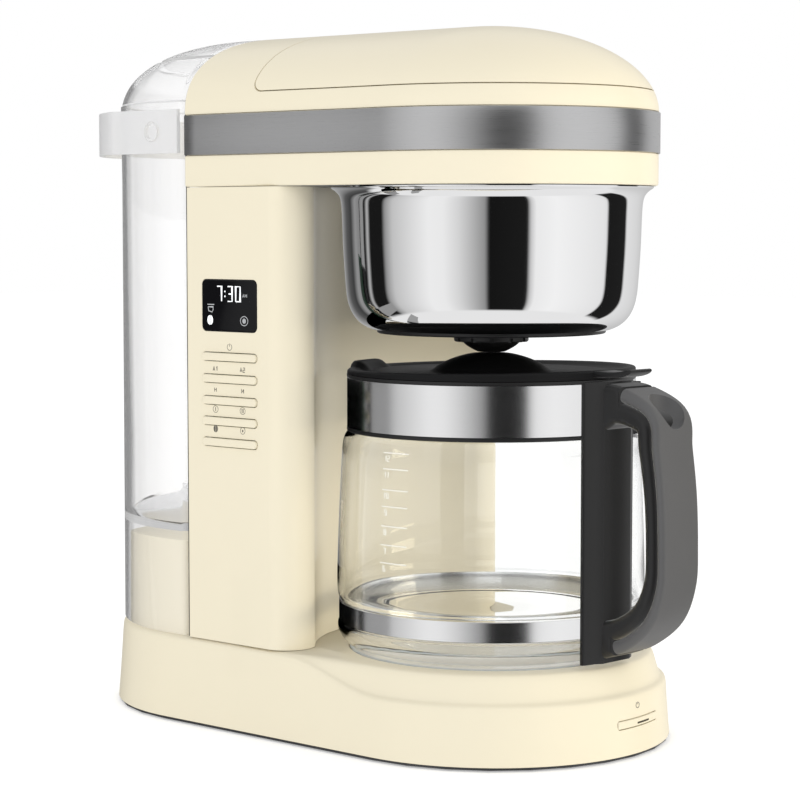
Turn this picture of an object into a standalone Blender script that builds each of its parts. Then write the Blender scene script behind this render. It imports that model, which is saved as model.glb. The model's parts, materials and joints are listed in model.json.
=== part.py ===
"""Drip coffee maker: base with hotplate, tower, head, water tank and glass carafe.

Units are metres, +Z is up and the nose of the machine points along +X.
Shapes are laid out from the brew axis, the vertical line through the hotplate, the carafe and the
filter bowl. One empty carries the whole machine and sets it over the origin.
"""
import math

import bmesh
import bpy
from mathutils import Matrix, Vector

# ---------------------------------------------------------------- driving dimensions
GAP = 0.0003            # between pieces that touch
WALL = 0.0025           # moulded shells
SEAM = 0.0006           # half of a visible seam between two casings

BASE_R = 0.0900         # round ends of the base, at the floor
BASE_TOP_R = 0.0880     # the same ends at the shoulder
PLATEAU_R = 0.0835      # raised deck in front of the tower
REAR_AXIS_X = -0.144    # axis of the round back, from the brew axis
COVER_Z = 0.0008        # underside of the bottom cover
SHELL_Z = 0.0022        # lower edge of the base shell
SHOULDER_Z = 0.0310     # skirt's edge at the nose
DECK_Z = 0.0445         # top of the base

SEAM_X = -0.1292        # plane between the tank and the rest
TOWER_HALF = 0.0855     # half width of the tower
TOWER_BAY_R = 0.0880    # hollow front of the tower, round the carafe
TOWER_CORNER_R = 0.0140

HEAD_Z = 0.2740         # underside of the head
HEAD_R = 0.0822         # nose of the head
HEAD_REAR_HALF = 0.0865 # half width of the head at the seam
STRAP_Z = (0.2898, 0.3097)
STRAP_PROUD = 0.0008
STRAP_GROOVE = 0.0010
EASE = 0.0002           # slope on the groove's two steps
DOME_Z = 0.3100         # where the dome starts to curve in
DOME_RISE = 0.0422
DOME_POWER = (2.0, 2.35)    # roundness at the nose and at the rear
LID_Z = 0.3203          # lower seam of the brew lid
LID_X = -0.0840         # rear seam of the brew lid
LID_CORNER_R = 0.0060

TANK_R = 0.0860
TANK_WALL = 0.0024
TANK_FLOOR_Z = 0.0985
TANK_TOP_Z = 0.3170
FLAP_Z = 0.3402         # seam round the tank's filling lid
DOCK_TOP_Z = 0.0940
DOCK_CLEARANCE = 0.0015
TANK_PORT = (REAR_AXIS_X - 0.026, 0.0)
TANK_PORT_R = 0.0080

BAIL_PIVOT = (REAR_AXIS_X - 0.006, 0.302)    # x and z of the carrying handle's pivots
BAIL_HEIGHT = 0.0220
BAIL_THICKNESS = 0.0024
BAIL_CLEARANCE = 0.0016
BAIL_REACH_R = 0.0975           # outer radius of its round back
PIVOT_R = 0.0048

HOTPLATE_R = 0.0690
HOTPLATE_TOP = 0.0452

JUG_R = 0.0770          # widest part of the glass
JUG_WALL = 0.0022
JUG_SCALE = JUG_R / 0.0770
NECK_R = 0.0682
COLLAR_Z = (0.1536, 0.1812)
COLLAR_BAND_Z = (0.1549, 0.1796)
COLLAR_R = 0.0719
LOWER_BAND_Z = (0.0585, 0.0684)
CARAFE_LID_R = 0.0718
CARAFE_LID_Z = 0.1815
CARAFE_LID_TOP = 0.1915
HANDLE_TURN = math.radians(-3.0)
HANDLE_W = 0.0272
HANDLE_REACH = 0.1200   # outermost part of the grip, from the jug's axis
LID_HINGE = (0.0735, 0.1825)

BOWL_RIM_R = 0.0790
BOWL_R = 0.0742
BOWL_BASE_R = 0.0570
BOWL_BASE_Z = 0.2014
BASKET_R = 0.0660
BASKET_Z = BOWL_BASE_Z + 0.0080
VALVE_TIP_Z = CARAFE_LID_TOP + 0.0006
VALVE_RING_R = 0.0186
VALVE_R = 0.0148
STEM_R = 0.0040

PANEL_X = (-0.1177, -0.0795)    # display and buttons, along the tower's side
DISPLAY_Z = (0.2020, 0.2275)
BAR_Z = (0.1890, 0.1780, 0.1670, 0.1566, 0.1460)
BAR_HEIGHT = 0.0040
BAR_PROUD = 0.0012
PANEL_GAP = 0.0004

START_Z = (0.0151, 0.0189)
START_WIDTH = 0.0345
START_TURN = math.radians(3.7)  # the button sits a little off the machine's middle

GLAND_R = 0.0060
GLAND_Y = 0.045
GLAND_Z = 0.0155

HEATER_R = 0.044
HEATER_Z = HOTPLATE_TOP - 0.0030 - 0.0045

FOOT_R = 0.0085
FOOT_Z = 0.0023
FOOT_PLACES = ((0.052, 0.052), (0.052, -0.052), (-0.196, 0.052), (-0.196, -0.052))
SCREW_PLACES = ((0.070, 0.0), (-0.072, 0.070), (-0.072, -0.070), (-0.214, 0.0))
SCREW_R = 0.0017

RISER_AT = (-0.108, 0.035)
HOSE_R = 0.0050

# The machine's box runs from the back of the carrying handle to the front of the grip
BOX_REAR = REAR_AXIS_X - BAIL_REACH_R
BOX_FRONT = HANDLE_REACH
BREW_X = -(BOX_REAR + BOX_FRONT) / 2

ARC_STEPS = 14
TURN_STEPS = 32
GRIP_STEPS = 26
GRIP_SPAN = (3, 24)    # stations of the grip between which the cover runs
SIDE_STEPS = 4
BASE_SIDE_STEPS = 7


# ---------------------------------------------------------------- scene and materials
def clear_scene():
    """Remove every object, so that the script can run in any file."""
    for obj in list(bpy.data.objects):
        bpy.data.objects.remove(obj, do_unlink=True)


def new_collection(name):
    """Make a collection under the scene."""
    collection = bpy.data.collections.new(name)
    bpy.context.scene.collection.children.link(collection)
    return collection


def make_material(name, colour, roughness, metallic=0.0, alpha=1.0):
    """Make a plain Principled material."""
    material = bpy.data.materials.new(name)
    material.use_nodes = True
    shader = material.node_tree.nodes["Principled BSDF"]
    shader.inputs["Base Color"].default_value = (*colour, 1.0)
    shader.inputs["Roughness"].default_value = roughness
    shader.inputs["Metallic"].default_value = metallic
    shader.inputs["Alpha"].default_value = alpha
    return material


clear_scene()
PARTS = new_collection("drip_coffee_maker")
CUTTERS = new_collection("cutters")

CREAM = make_material("cream_plastic", (0.86, 0.79, 0.60), 0.25)
DARK = make_material("dark_plastic", (0.05, 0.05, 0.055), 0.45)
BLACK = make_material("black_plastic", (0.02, 0.02, 0.022), 0.40)
GRIP = make_material("grip_plastic", (0.06, 0.06, 0.065), 0.50)
CHROME = make_material("chrome", (0.80, 0.80, 0.82), 0.05, 1.0)
BRUSHED = make_material("brushed_steel", (0.55, 0.55, 0.56), 0.30, 1.0)
GLASS = make_material("glass", (0.95, 0.97, 0.97), 0.02, 0.0, 0.3)
CLEAR = make_material("clear_plastic", (0.94, 0.95, 0.96), 0.06, 0.0, 0.35)
FROSTED = make_material("frosted_plastic", (0.90, 0.90, 0.91), 0.30, 0.0, 0.8)
RUBBER = make_material("rubber", (0.04, 0.04, 0.04), 0.80)
SILICONE = make_material("silicone", (0.80, 0.80, 0.78), 0.55)
ENAMEL = make_material("enamel", (0.05, 0.05, 0.05), 0.35)
STEEL = make_material("steel", (0.60, 0.60, 0.60), 0.35, 1.0)
BOARD = make_material("circuit_board", (0.02, 0.20, 0.08), 0.50)
LENS = make_material("display_glass", (0.01, 0.01, 0.012), 0.08)


# ---------------------------------------------------------------- shape helpers
def new_empty(name, location, parent=None, turn=0.0):
    """Make an empty that carries a group of pieces."""
    empty = bpy.data.objects.new(name, None)
    empty.location = location
    empty.rotation_euler = (0.0, 0.0, turn)
    empty.parent = parent
    PARTS.objects.link(empty)
    return empty


def new_object(name, mesh, material, parent, at=(0.0, 0.0, 0.0)):
    """Link a mesh as a named piece, with its origin at the given point of its parent."""
    obj = bpy.data.objects.new(name, mesh)
    mesh.transform(Matrix.Translation(-Vector(at)))
    obj.location = at
    obj.parent = parent
    if material is None:
        CUTTERS.objects.link(obj)
        obj.hide_render = True
        obj.display_type = 'WIRE'
    else:
        mesh.materials.append(material)
        PARTS.objects.link(obj)
    return obj


def smooth(obj, angle=math.radians(32)):
    """Shade smooth, with edges sharper than the angle kept sharp."""
    obj.data.shade_smooth()
    obj.data.set_sharp_from_angle(angle=angle)
    return obj


def mesh_from(bm, name):
    """Turn a bmesh into a mesh and free it."""
    mesh = bpy.data.meshes.new(name)
    bm.to_mesh(mesh)
    bm.free()
    return mesh


def arc(centre, radius, start, end, steps):
    """Points along an arc, in degrees, both ends included."""
    points = []
    for i in range(steps + 1):
        angle = math.radians(start + (end - start) * i / steps)
        points.append((centre[0] + radius * math.cos(angle), centre[1] + radius * math.sin(angle)))
    return points


def loft(name, rings, material, parent, at=(0.0, 0.0, 0.0), cap_low=True, cap_high=True):
    """Skin closed rings that run anticlockwise and climb; open ends are left for Solidify."""
    bm = bmesh.new()
    rows = [[bm.verts.new(point) for point in ring] for ring in rings]
    count = len(rows[0])
    for low, high in zip(rows, rows[1:]):
        for i in range(count):
            j = (i + 1) % count
            bm.faces.new((low[i], low[j], high[j], high[i]))
    if cap_low:
        bm.faces.new(list(reversed(rows[0])))
    if cap_high:
        bm.faces.new(rows[-1])
    return smooth(new_object(name, mesh_from(bm, name), material, parent, at))


def prism(name, outline, low, high, material, parent, axis='Z', at=(0.0, 0.0, 0.0)):
    """Extrude a flat outline between two heights along Z, or between two places along Y or X."""
    bm = bmesh.new()
    if axis == 'Z':
        verts = [bm.verts.new((a, b, low)) for a, b in outline]
        travel = (0.0, 0.0, high - low)
    elif axis == 'Y':
        verts = [bm.verts.new((a, low, b)) for a, b in outline]
        travel = (0.0, high - low, 0.0)
    else:
        verts = [bm.verts.new((low, a, b)) for a, b in outline]
        travel = (high - low, 0.0, 0.0)
    face = bm.faces.new(verts)
    grown = bmesh.ops.extrude_face_region(bm, geom=[face])
    moved = [item for item in grown["geom"] if isinstance(item, bmesh.types.BMVert)]
    bmesh.ops.translate(bm, verts=moved, vec=travel)
    bmesh.ops.recalc_face_normals(bm, faces=bm.faces)
    return smooth(new_object(name, mesh_from(bm, name), material, parent, at))


def rounded_rect(low, high, radius, steps=3):
    """Outline of a rectangle with round corners, anticlockwise."""
    (x0, y0), (x1, y1) = low, high
    points = arc((x1 - radius, y1 - radius), radius, 0, 90, steps)
    points += arc((x0 + radius, y1 - radius), radius, 90, 180, steps)
    points += arc((x0 + radius, y0 + radius), radius, 180, 270, steps)
    points += arc((x1 - radius, y0 + radius), radius, 270, 360, steps)
    return points


def cylinder(name, radius, low, high, centre, material, parent, axis='Z', segments=32):
    """A cylinder between two places along an axis, from a cone with equal ends."""
    bm = bmesh.new()
    bmesh.ops.create_cone(bm, cap_ends=True, segments=segments, radius1=radius, radius2=radius,
                          depth=high - low)
    middle = (low + high) / 2
    turns = {'Z': Matrix.Identity(4), 'Y': Matrix.Rotation(math.pi / 2, 4, 'X'),
             'X': Matrix.Rotation(math.pi / 2, 4, 'Y')}
    places = {'Z': (centre[0], centre[1], middle), 'Y': (centre[0], middle, centre[1]),
              'X': (middle, centre[0], centre[1])}
    bmesh.ops.transform(bm, matrix=Matrix.Translation(places[axis]) @ turns[axis], verts=bm.verts)
    return smooth(new_object(name, mesh_from(bm, name), material, parent, places[axis]))


def turned(name, profile, material, parent, centre=(0.0, 0.0), steps=TURN_STEPS, closed=False):
    """Turn a profile of (radius, height) pairs, which runs down its outer side, with Screw."""
    bm = bmesh.new()
    verts = [bm.verts.new((r, 0.0, z)) for r, z in profile]
    for a, b in zip(verts, verts[1:]):
        bm.edges.new((a, b))
    if closed:
        bm.edges.new((verts[-1], verts[0]))
    mesh = mesh_from(bm, name)
    obj = new_object(name, mesh, material, parent)
    obj.location = (centre[0], centre[1], 0.0)
    screw = obj.modifiers.new("turn", 'SCREW')
    screw.axis = 'Z'
    screw.steps = steps
    screw.render_steps = steps
    screw.use_merge_vertices = True
    screw.merge_threshold = 0.00001
    screw.use_smooth_shade = True
    return obj


def solidify(obj, thickness):
    """Give a skin its wall, inwards."""
    modifier = obj.modifiers.new("wall", 'SOLIDIFY')
    modifier.thickness = thickness
    modifier.offset = -1.0
    modifier.use_even_offset = True
    return obj


def bevel(obj, width, segments=2, angle=math.radians(40)):
    """Round the sharp edges."""
    modifier = obj.modifiers.new("rounding", 'BEVEL')
    modifier.width = width
    modifier.segments = segments
    modifier.limit_method = 'ANGLE'
    modifier.angle_limit = angle
    return obj


def cut(obj, cutter, operation='DIFFERENCE'):
    """Cut a piece with a cutter, or keep what both share."""
    modifier = obj.modifiers.new(cutter.name, 'BOOLEAN')
    modifier.object = cutter
    modifier.operation = operation
    modifier.solver = 'EXACT'
    return obj


def smoothstep(value):
    """Ease from 0 to 1."""
    value = min(1.0, max(0.0, value))
    return value * value * (3 - 2 * value)


def smooth_path(points, samples):
    """A smooth curve through points of any dimension (Catmull-Rom), sampled evenly in parameter."""
    padded = [points[0]] + list(points) + [points[-1]]
    result = []
    spans = len(points) - 1
    for k in range(samples + 1):
        place = spans * k / samples
        i = min(int(place), spans - 1)
        t = place - i
        p0, p1, p2, p3 = padded[i:i + 4]
        result.append(tuple(
            0.5 * (2 * b + (c - a) * t + (2 * a - 5 * b + 4 * c - d) * t ** 2
                   + (3 * b - a - 3 * c + d) * t ** 3)
            for a, b, c, d in zip(p0, p1, p2, p3)))
    return result


def tube(name, points, radius, material, parent, samples=14):
    """A hose or wire: a round curve through the points, made a closed mesh."""
    curve = bpy.data.curves.new(name, 'CURVE')
    curve.dimensions = '3D'
    curve.bevel_depth = radius
    curve.bevel_resolution = 2
    curve.use_fill_caps = True
    path = smooth_path(points, samples) if samples else points
    spline = curve.splines.new('POLY')
    spline.points.add(len(path) - 1)
    for slot, point in zip(spline.points, path):
        slot.co = (*point, 1.0)
    holder = bpy.data.objects.new(name + "_curve", curve)
    CUTTERS.objects.link(holder)
    bpy.context.view_layer.update()
    evaluated = holder.evaluated_get(bpy.context.evaluated_depsgraph_get())
    mesh = bpy.data.meshes.new_from_object(evaluated)
    bpy.data.objects.remove(holder, do_unlink=True)
    bm = bmesh.new()
    bm.from_mesh(mesh)
    bmesh.ops.remove_doubles(bm, verts=bm.verts, dist=0.00001)
    bmesh.ops.recalc_face_normals(bm, faces=bm.faces)
    bm.to_mesh(mesh)
    bm.free()
    mesh.name = name
    mesh.materials.clear()
    return smooth(new_object(name, mesh, material, parent))


# ---------------------------------------------------------------- plans
def base_plan():
    """Spine points and outward directions round the base, anticlockwise from the nose's right."""
    spokes = [(0.0, math.cos(a), math.sin(a))
              for a in (math.radians(-90 + 180 * i / ARC_STEPS) for i in range(ARC_STEPS + 1))]
    run = [REAR_AXIS_X * i / BASE_SIDE_STEPS for i in range(1, BASE_SIDE_STEPS)]
    spokes += [(x, 0.0, 1.0) for x in run]
    spokes += [(REAR_AXIS_X, math.cos(a), math.sin(a))
               for a in (math.radians(90 + 180 * i / ARC_STEPS) for i in range(ARC_STEPS + 1))]
    spokes += [(x, 0.0, -1.0) for x in reversed(run)]
    return spokes


def base_ring(radius, height):
    """One level of the base; radius and height may be functions of the place along the spine."""
    ring = []
    for x, dx, dy in base_plan():
        share = smoothstep((x - TOWER_FRONT_X) / (0.0 - TOWER_FRONT_X))
        r = radius(share) if callable(radius) else radius
        z = height(share) if callable(height) else height
        ring.append((x + r * dx, r * dy, z))
    return ring


def head_plan(x_rear):
    """Spine points, directions and how far back each lies, round the head; the rear is flat."""
    spokes = [(0.0, math.cos(a), math.sin(a), 0.0)
              for a in (math.radians(-90 + 180 * i / ARC_STEPS) for i in range(ARC_STEPS + 1))]
    run = [x_rear * i / SIDE_STEPS for i in range(1, SIDE_STEPS + 1)]
    spokes += [(x, 0.0, 1.0, x / x_rear) for x in run]
    spokes += [(x, 0.0, -1.0, x / x_rear) for x in reversed(run)]
    return spokes


def dome_ratio(z, back):
    """How much the dome has closed in at a height, from 1 to 0."""
    power = DOME_POWER[0] + (DOME_POWER[1] - DOME_POWER[0]) * back
    rise = min(1.0, max(0.0, (z - DOME_Z) / DOME_RISE))
    return (1 - rise ** power) ** (1 / power)


def head_ring(z, inset=0.0):
    """One level of the head and its dome."""
    ring = []
    for x, dx, dy, back in head_plan(SEAM_X + SEAM):
        full = HEAD_R + (HEAD_REAR_HALF - HEAD_R) * smoothstep(back)
        r = full * dome_ratio(z, back) - inset
        ring.append((x + r * dx, r * dy, z))
    return ring


def dome_levels(low):
    """Heights that follow the dome evenly, from a level up to just under the crown."""
    start = math.asin(max(0.0, (low - DOME_Z) / DOME_RISE))
    end = math.radians(85)
    steps = 7
    return [DOME_Z + DOME_RISE * math.sin(start + (end - start) * i / steps)
            for i in range(1, steps + 1)]


def tank_ring(z, inset=0.0, radius=TANK_R, ratio=1.0, corner=0.004):
    """One level of the tank: a round back and a flat front with small corners."""
    r = radius * ratio - inset
    front = SEAM_X - SEAM - inset
    c = min(corner, r / 3)
    points = arc((REAR_AXIS_X, 0.0), r, 90, 270, ARC_STEPS)
    points += arc((front - c, -r + c), c, 270, 360, 3)
    points += arc((front - c, r - c), c, 0, 90, 3)
    return [(x, y, z) for x, y in points]


TOWER_FRONT_X = -(TOWER_BAY_R + TOWER_CORNER_R) * math.cos(
    math.asin((TOWER_HALF - TOWER_CORNER_R) / (TOWER_BAY_R + TOWER_CORNER_R))) + TOWER_CORNER_R


def tower_outline(inset=0.0):
    """Plan of the tower: flat rear and sides, round front corners, hollow front."""
    bay = TOWER_BAY_R + inset
    corner = TOWER_CORNER_R - inset
    reach = bay + corner
    centre_y = TOWER_HALF - TOWER_CORNER_R
    centre_x = -math.sqrt(reach ** 2 - centre_y ** 2)
    touch = math.degrees(math.atan2(centre_y, -centre_x))
    rear = SEAM_X + SEAM + inset
    half = TOWER_HALF - inset
    points = [(rear, -half), ((rear + centre_x) / 2, -half)]
    points += arc((centre_x, -centre_y), corner, -90, touch, 5)
    bay_arc = arc((0.0, 0.0), bay, 180 + touch, 180 - touch, 12)
    points += bay_arc[1:-1]
    points += arc((centre_x, centre_y), corner, -touch, 90, 5)
    points += [((rear + centre_x) / 2, half), (rear, half)]
    return points


# ---------------------------------------------------------------- the base
def build_base(root):
    """Base shell with its shoulder, the cover under it, feet and screws."""
    def mix(rear, front):
        return lambda share: rear + (front - rear) * share

    rings = [
        base_ring(BASE_R - 0.0003, SHELL_Z),
        base_ring(BASE_TOP_R + 0.0002, 0.020),
        base_ring(mix(0.0869, BASE_TOP_R - 0.0002), mix(DECK_Z - 0.0035, SHOULDER_Z - 0.0018)),
        base_ring(mix(0.0864, BASE_TOP_R - 0.0014), mix(DECK_Z - 0.0018, SHOULDER_Z - 0.0004)),
        base_ring(mix(0.0856, PLATEAU_R + 0.0012), mix(DECK_Z - 0.0011, SHOULDER_Z + 0.0006)),
        base_ring(mix(0.0848, PLATEAU_R + 0.0002), mix(DECK_Z - 0.0007, SHOULDER_Z + 0.0030)),
        base_ring(mix(0.0832, PLATEAU_R - 0.0024), mix(DECK_Z - 0.0002, DECK_Z - 0.0010)),
        base_ring(PLATEAU_R - 0.0052, DECK_Z),
    ]
    shell = loft("base_shell", rings, CREAM, root, cap_low=False)
    solidify(shell, WALL)
    cut(shell, cylinder("hotplate_hole", HOTPLATE_R + 0.0022, DECK_Z - 0.02, DECK_Z + 0.01,
                        (0.0, 0.0), None, root, segments=TURN_STEPS))
    rear = SEAM_X + SEAM + 0.008
    cut(shell, prism("tower_opening", rounded_rect((rear, -0.060), (-TOWER_BAY_R - 0.009, 0.060),
                                                   0.004),
                     DECK_Z - 0.02, DECK_Z + 0.01, None, root))
    cut(shell, cylinder("port_hole", TANK_PORT_R + 0.002, DECK_Z - 0.02, DECK_Z + 0.01, TANK_PORT,
                        None, root))
    start_low = (-START_WIDTH / 2 - PANEL_GAP, START_Z[0] - PANEL_GAP)
    start_high = (START_WIDTH / 2 + PANEL_GAP, START_Z[1] + PANEL_GAP)
    slot = prism("start_hole", rounded_rect(start_low, start_high, 0.0018), BASE_R - 0.02,
                 BASE_R + 0.01, None, root, axis='X')
    slot.data.transform(Matrix.Rotation(START_TURN, 4, 'Z'))
    cut(shell, slot)
    cut(shell, cylinder("gland_hole", GLAND_R + GAP, REAR_AXIS_X - BASE_R - 0.01,
                        REAR_AXIS_X - BASE_R + 0.03, (GLAND_Y, GLAND_Z), None, root, axis='X'))

    inner = BASE_R - WALL - 0.0012
    cover = loft("bottom_cover", [
        base_ring(BASE_R - 0.0009, COVER_Z), base_ring(BASE_R - 0.0007, SHELL_Z - GAP),
        base_ring(inner, SHELL_Z - GAP), base_ring(inner, SHELL_Z + 0.0020)], DARK, root)
    for i, (x, y) in enumerate(FOOT_PLACES):
        cut(cover, cylinder(f"foot_pocket_{i + 1}", FOOT_R + GAP, COVER_Z - 0.002, FOOT_Z + GAP,
                            (x, y), None, root, segments=20))
        foot = turned(f"foot_{i + 1}", [
            (0.0, FOOT_Z), (FOOT_R - 0.0004, FOOT_Z), (FOOT_R, FOOT_Z - 0.0004),
            (FOOT_R, 0.0005), (FOOT_R - 0.0006, 0.0), (0.0, 0.0)], RUBBER, root, (x, y), 20)
        smooth(foot)
    for i, (x, y) in enumerate(SCREW_PLACES):
        cut(cover, cylinder(f"screw_hole_{i + 1}", SCREW_R + GAP, 0.0, 0.01, (x, y), None, root,
                            segments=12))
        cut(cover, cylinder(f"screw_sink_{i + 1}", SCREW_R * 2 + GAP, 0.0, 0.0026, (x, y), None,
                            root, segments=12))
        turned(f"bottom_screw_{i + 1}", [
            (0.0, 0.0105), (SCREW_R, 0.0095), (SCREW_R, 0.0023), (SCREW_R * 2, 0.0023),
            (SCREW_R * 1.7, 0.0010), (0.0, 0.0010)], STEEL, root, (x, y), 12)


def build_gland(root):
    """Bush in the back of the base where the mains lead goes in."""
    wall_x = REAR_AXIS_X - math.sqrt((BASE_R - 0.001) ** 2 - GLAND_Y ** 2)
    cylinder("cord_gland", GLAND_R, wall_x - 0.0008, wall_x + 0.010, (GLAND_Y, GLAND_Z), BLACK,
             root, axis='X', segments=24)


def build_hotplate(root):
    """Hotplate, its seal, the heater tube under it and the thermostat."""
    top = HOTPLATE_TOP
    turned("hotplate", [
        (0.0, top - 0.0004), (HOTPLATE_R * 0.82, top - 0.0004), (HOTPLATE_R * 0.86, top),
        (HOTPLATE_R - 0.001, top), (HOTPLATE_R, top - 0.0010), (HOTPLATE_R, top - 0.0060),
        (HOTPLATE_R - 0.0015, top - 0.0060), (HOTPLATE_R - 0.0015, top - 0.0020),
        (0.0, top - 0.0020)], ENAMEL, root)
    turned("hotplate_seal", [
        (HOTPLATE_R + GAP, DECK_Z + 0.0004), (HOTPLATE_R + 0.0018, DECK_Z + 0.0002),
        (HOTPLATE_R + 0.0018, DECK_Z - 0.0060), (HOTPLATE_R + GAP, DECK_Z - 0.0060)],
        SILICONE, root, closed=True)
    points = [(*point, HEATER_Z) for point in arc((0.0, 0.0), HEATER_R, -150, 150, 22)]
    tube("heating_element", points, 0.0042, STEEL, root, samples=0)
    turned("thermostat", [
        (0.0, top - 0.0030), (0.0075, top - 0.0030), (0.0075, top - 0.0100),
        (0.0100, top - 0.0100), (0.0100, top - 0.0150), (0.0, top - 0.0150)], DARK, root,
        steps=24)


def build_start_button(root):
    """Start button on the nose, a slice of the skirt with a small raised lip."""
    outer = BASE_TOP_R + 0.0006
    half = math.degrees(math.asin(START_WIDTH / 2 / outer))
    turn = math.degrees(START_TURN)
    plan = arc((0.0, 0.0), outer, turn - half, turn + half, 10)
    plan += arc((0.0, 0.0), outer - 0.0050, turn + half, turn - half, 10)
    button = prism("start_button", plan, START_Z[0], START_Z[1], CREAM, root,
                   at=(outer * math.cos(START_TURN), outer * math.sin(START_TURN),
                       (START_Z[0] + START_Z[1]) / 2))
    bevel(button, 0.0005)


# ---------------------------------------------------------------- the tower
def build_tower(root):
    """Tower shell with its display window and button slots, and what sits behind them."""
    outline = tower_outline()
    low, high = DECK_Z + GAP, HEAD_Z - GAP
    shell = loft("tower_shell", [[(x, y, z) for x, y in outline] for z in (low, high)], CREAM,
                 root, cap_low=False, cap_high=False)
    solidify(shell, WALL)
    x0, x1 = PANEL_X
    face = -TOWER_HALF
    window = rounded_rect((x0 - PANEL_GAP, DISPLAY_Z[0] - PANEL_GAP),
                          (x1 + PANEL_GAP, DISPLAY_Z[1] + PANEL_GAP), 0.0025 + PANEL_GAP)
    cut(shell, prism("display_window", window, face - 0.01, face + 0.01, None, root, axis='Y'))
    lens = prism("display_lens", rounded_rect((x0, DISPLAY_Z[0]), (x1, DISPLAY_Z[1]), 0.0025),
                 face - 0.0003, face + 0.0017, LENS, root, axis='Y')
    bevel(lens, 0.0003, 1)
    module = prism("display_module", rounded_rect((x0 - 0.002, DISPLAY_Z[0] - 0.002),
                                                  (x1 + 0.002, DISPLAY_Z[1] + 0.002), 0.001, 1),
                   face + WALL + GAP, face + WALL + 0.0045, DARK, root, axis='Y')
    bevel(module, 0.0004, 1)
    board = prism("control_board", rounded_rect((x0 - 0.004, BAR_Z[-1] - 0.014),
                                                (x1 + 0.006, DISPLAY_Z[1] + 0.008), 0.002, 2),
                  face + WALL + 0.0068, face + WALL + 0.0084, BOARD, root, axis='Y')
    bevel(board, 0.0002, 1)
    for i, z in enumerate(BAR_Z):
        slot = rounded_rect((x0 - PANEL_GAP, z - BAR_HEIGHT / 2 - PANEL_GAP),
                            (x1 + PANEL_GAP, z + BAR_HEIGHT / 2 + PANEL_GAP),
                            BAR_HEIGHT / 2 - 0.0001 + PANEL_GAP)
        cut(shell, prism(f"bar_slot_{i + 1}", slot, face - 0.01, face + 0.01, None, root,
                         axis='Y'))
        name = "power_bar" if i == 0 else f"selector_bar_{i}"
        bar = rounded_rect((x0, z - BAR_HEIGHT / 2), (x1, z + BAR_HEIGHT / 2),
                           BAR_HEIGHT / 2 - 0.0001)
        pivot = ((x0 + x1) / 2, face + 0.0010, z)
        bar = prism(name, bar, face - BAR_PROUD, face + 0.0030, CREAM, root, axis='Y', at=pivot)
        bevel(bar, 0.0005)


def build_water_path(root):
    """Check valve, supply hose, riser hose and the spout that feeds the showerhead."""
    port_x, port_y = TANK_PORT
    low = SHELL_Z + 0.0150
    tube("supply_hose", [(port_x, port_y, DECK_Z + 0.004), (port_x, port_y, 0.030),
                         (port_x + 0.010, port_y, low), (port_x + 0.045, port_y, low),
                         (VALVE_X - 0.0004 - 0.012, port_y, low)], HOSE_R, SILICONE, root)
    cylinder("check_valve", 0.0075, VALVE_X - 0.0115, VALVE_X + 0.0115, (port_y, low), DARK, root,
             axis='X', segments=24)
    riser_x, riser_y = RISER_AT
    tube("riser_hose", [(-HEATER_R - 0.014, riser_y, low), (riser_x + 0.020, riser_y, low),
                        (riser_x + 0.004, riser_y, low + 0.006), (riser_x, riser_y, 0.045),
                        (riser_x, riser_y, 0.100), (riser_x, riser_y, 0.200),
                        (riser_x, riser_y, SPOUT_Z - 0.0064)], HOSE_R, SILICONE, root)
    turned("outlet_spout", [
        (0.0030, SPOUT_Z + 0.014), (0.0065, SPOUT_Z + 0.014), (0.0065, SPOUT_Z),
        (0.0080, SPOUT_Z - 0.0020), (0.0080, SPOUT_Z - 0.0060), (0.0030, SPOUT_Z - 0.0060)],
        DARK, root, RISER_AT, 24, closed=True)


VALVE_X = -0.088
SPOUT_Z = HEAD_Z + 0.016


# ---------------------------------------------------------------- the head
def lid_outline(shrink):
    """Side view of the space that the brew lid fills; shrink makes the seam."""
    x, z = LID_X + shrink, LID_Z + shrink
    far, top = HEAD_R + 0.02, DOME_Z + DOME_RISE + 0.01
    points = arc((x + LID_CORNER_R, z + LID_CORNER_R), LID_CORNER_R, 180, 270, 5)
    return points + [(far, z), (far, top), (x, top)]


def head_rings(grooved):
    """Levels of the head from its underside to the crown."""
    low, high = STRAP_Z[0] - GAP, STRAP_Z[1] + GAP
    groove = STRAP_GROOVE if grooved else 0.0
    levels = [(HEAD_Z, 0.0010), (HEAD_Z + 0.0010, 0.0), (low - EASE, 0.0), (low, groove),
              (high, groove), (high + EASE, 0.0)]
    if not grooved:
        levels = [(HEAD_Z + 0.030, 0.0)]
    levels += [(LID_Z - 0.0045, 0.0)]
    levels += [(z, 0.0) for z in dome_levels(LID_Z - 0.0045)]
    return [head_ring(z, inset) for z, inset in levels]


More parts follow.
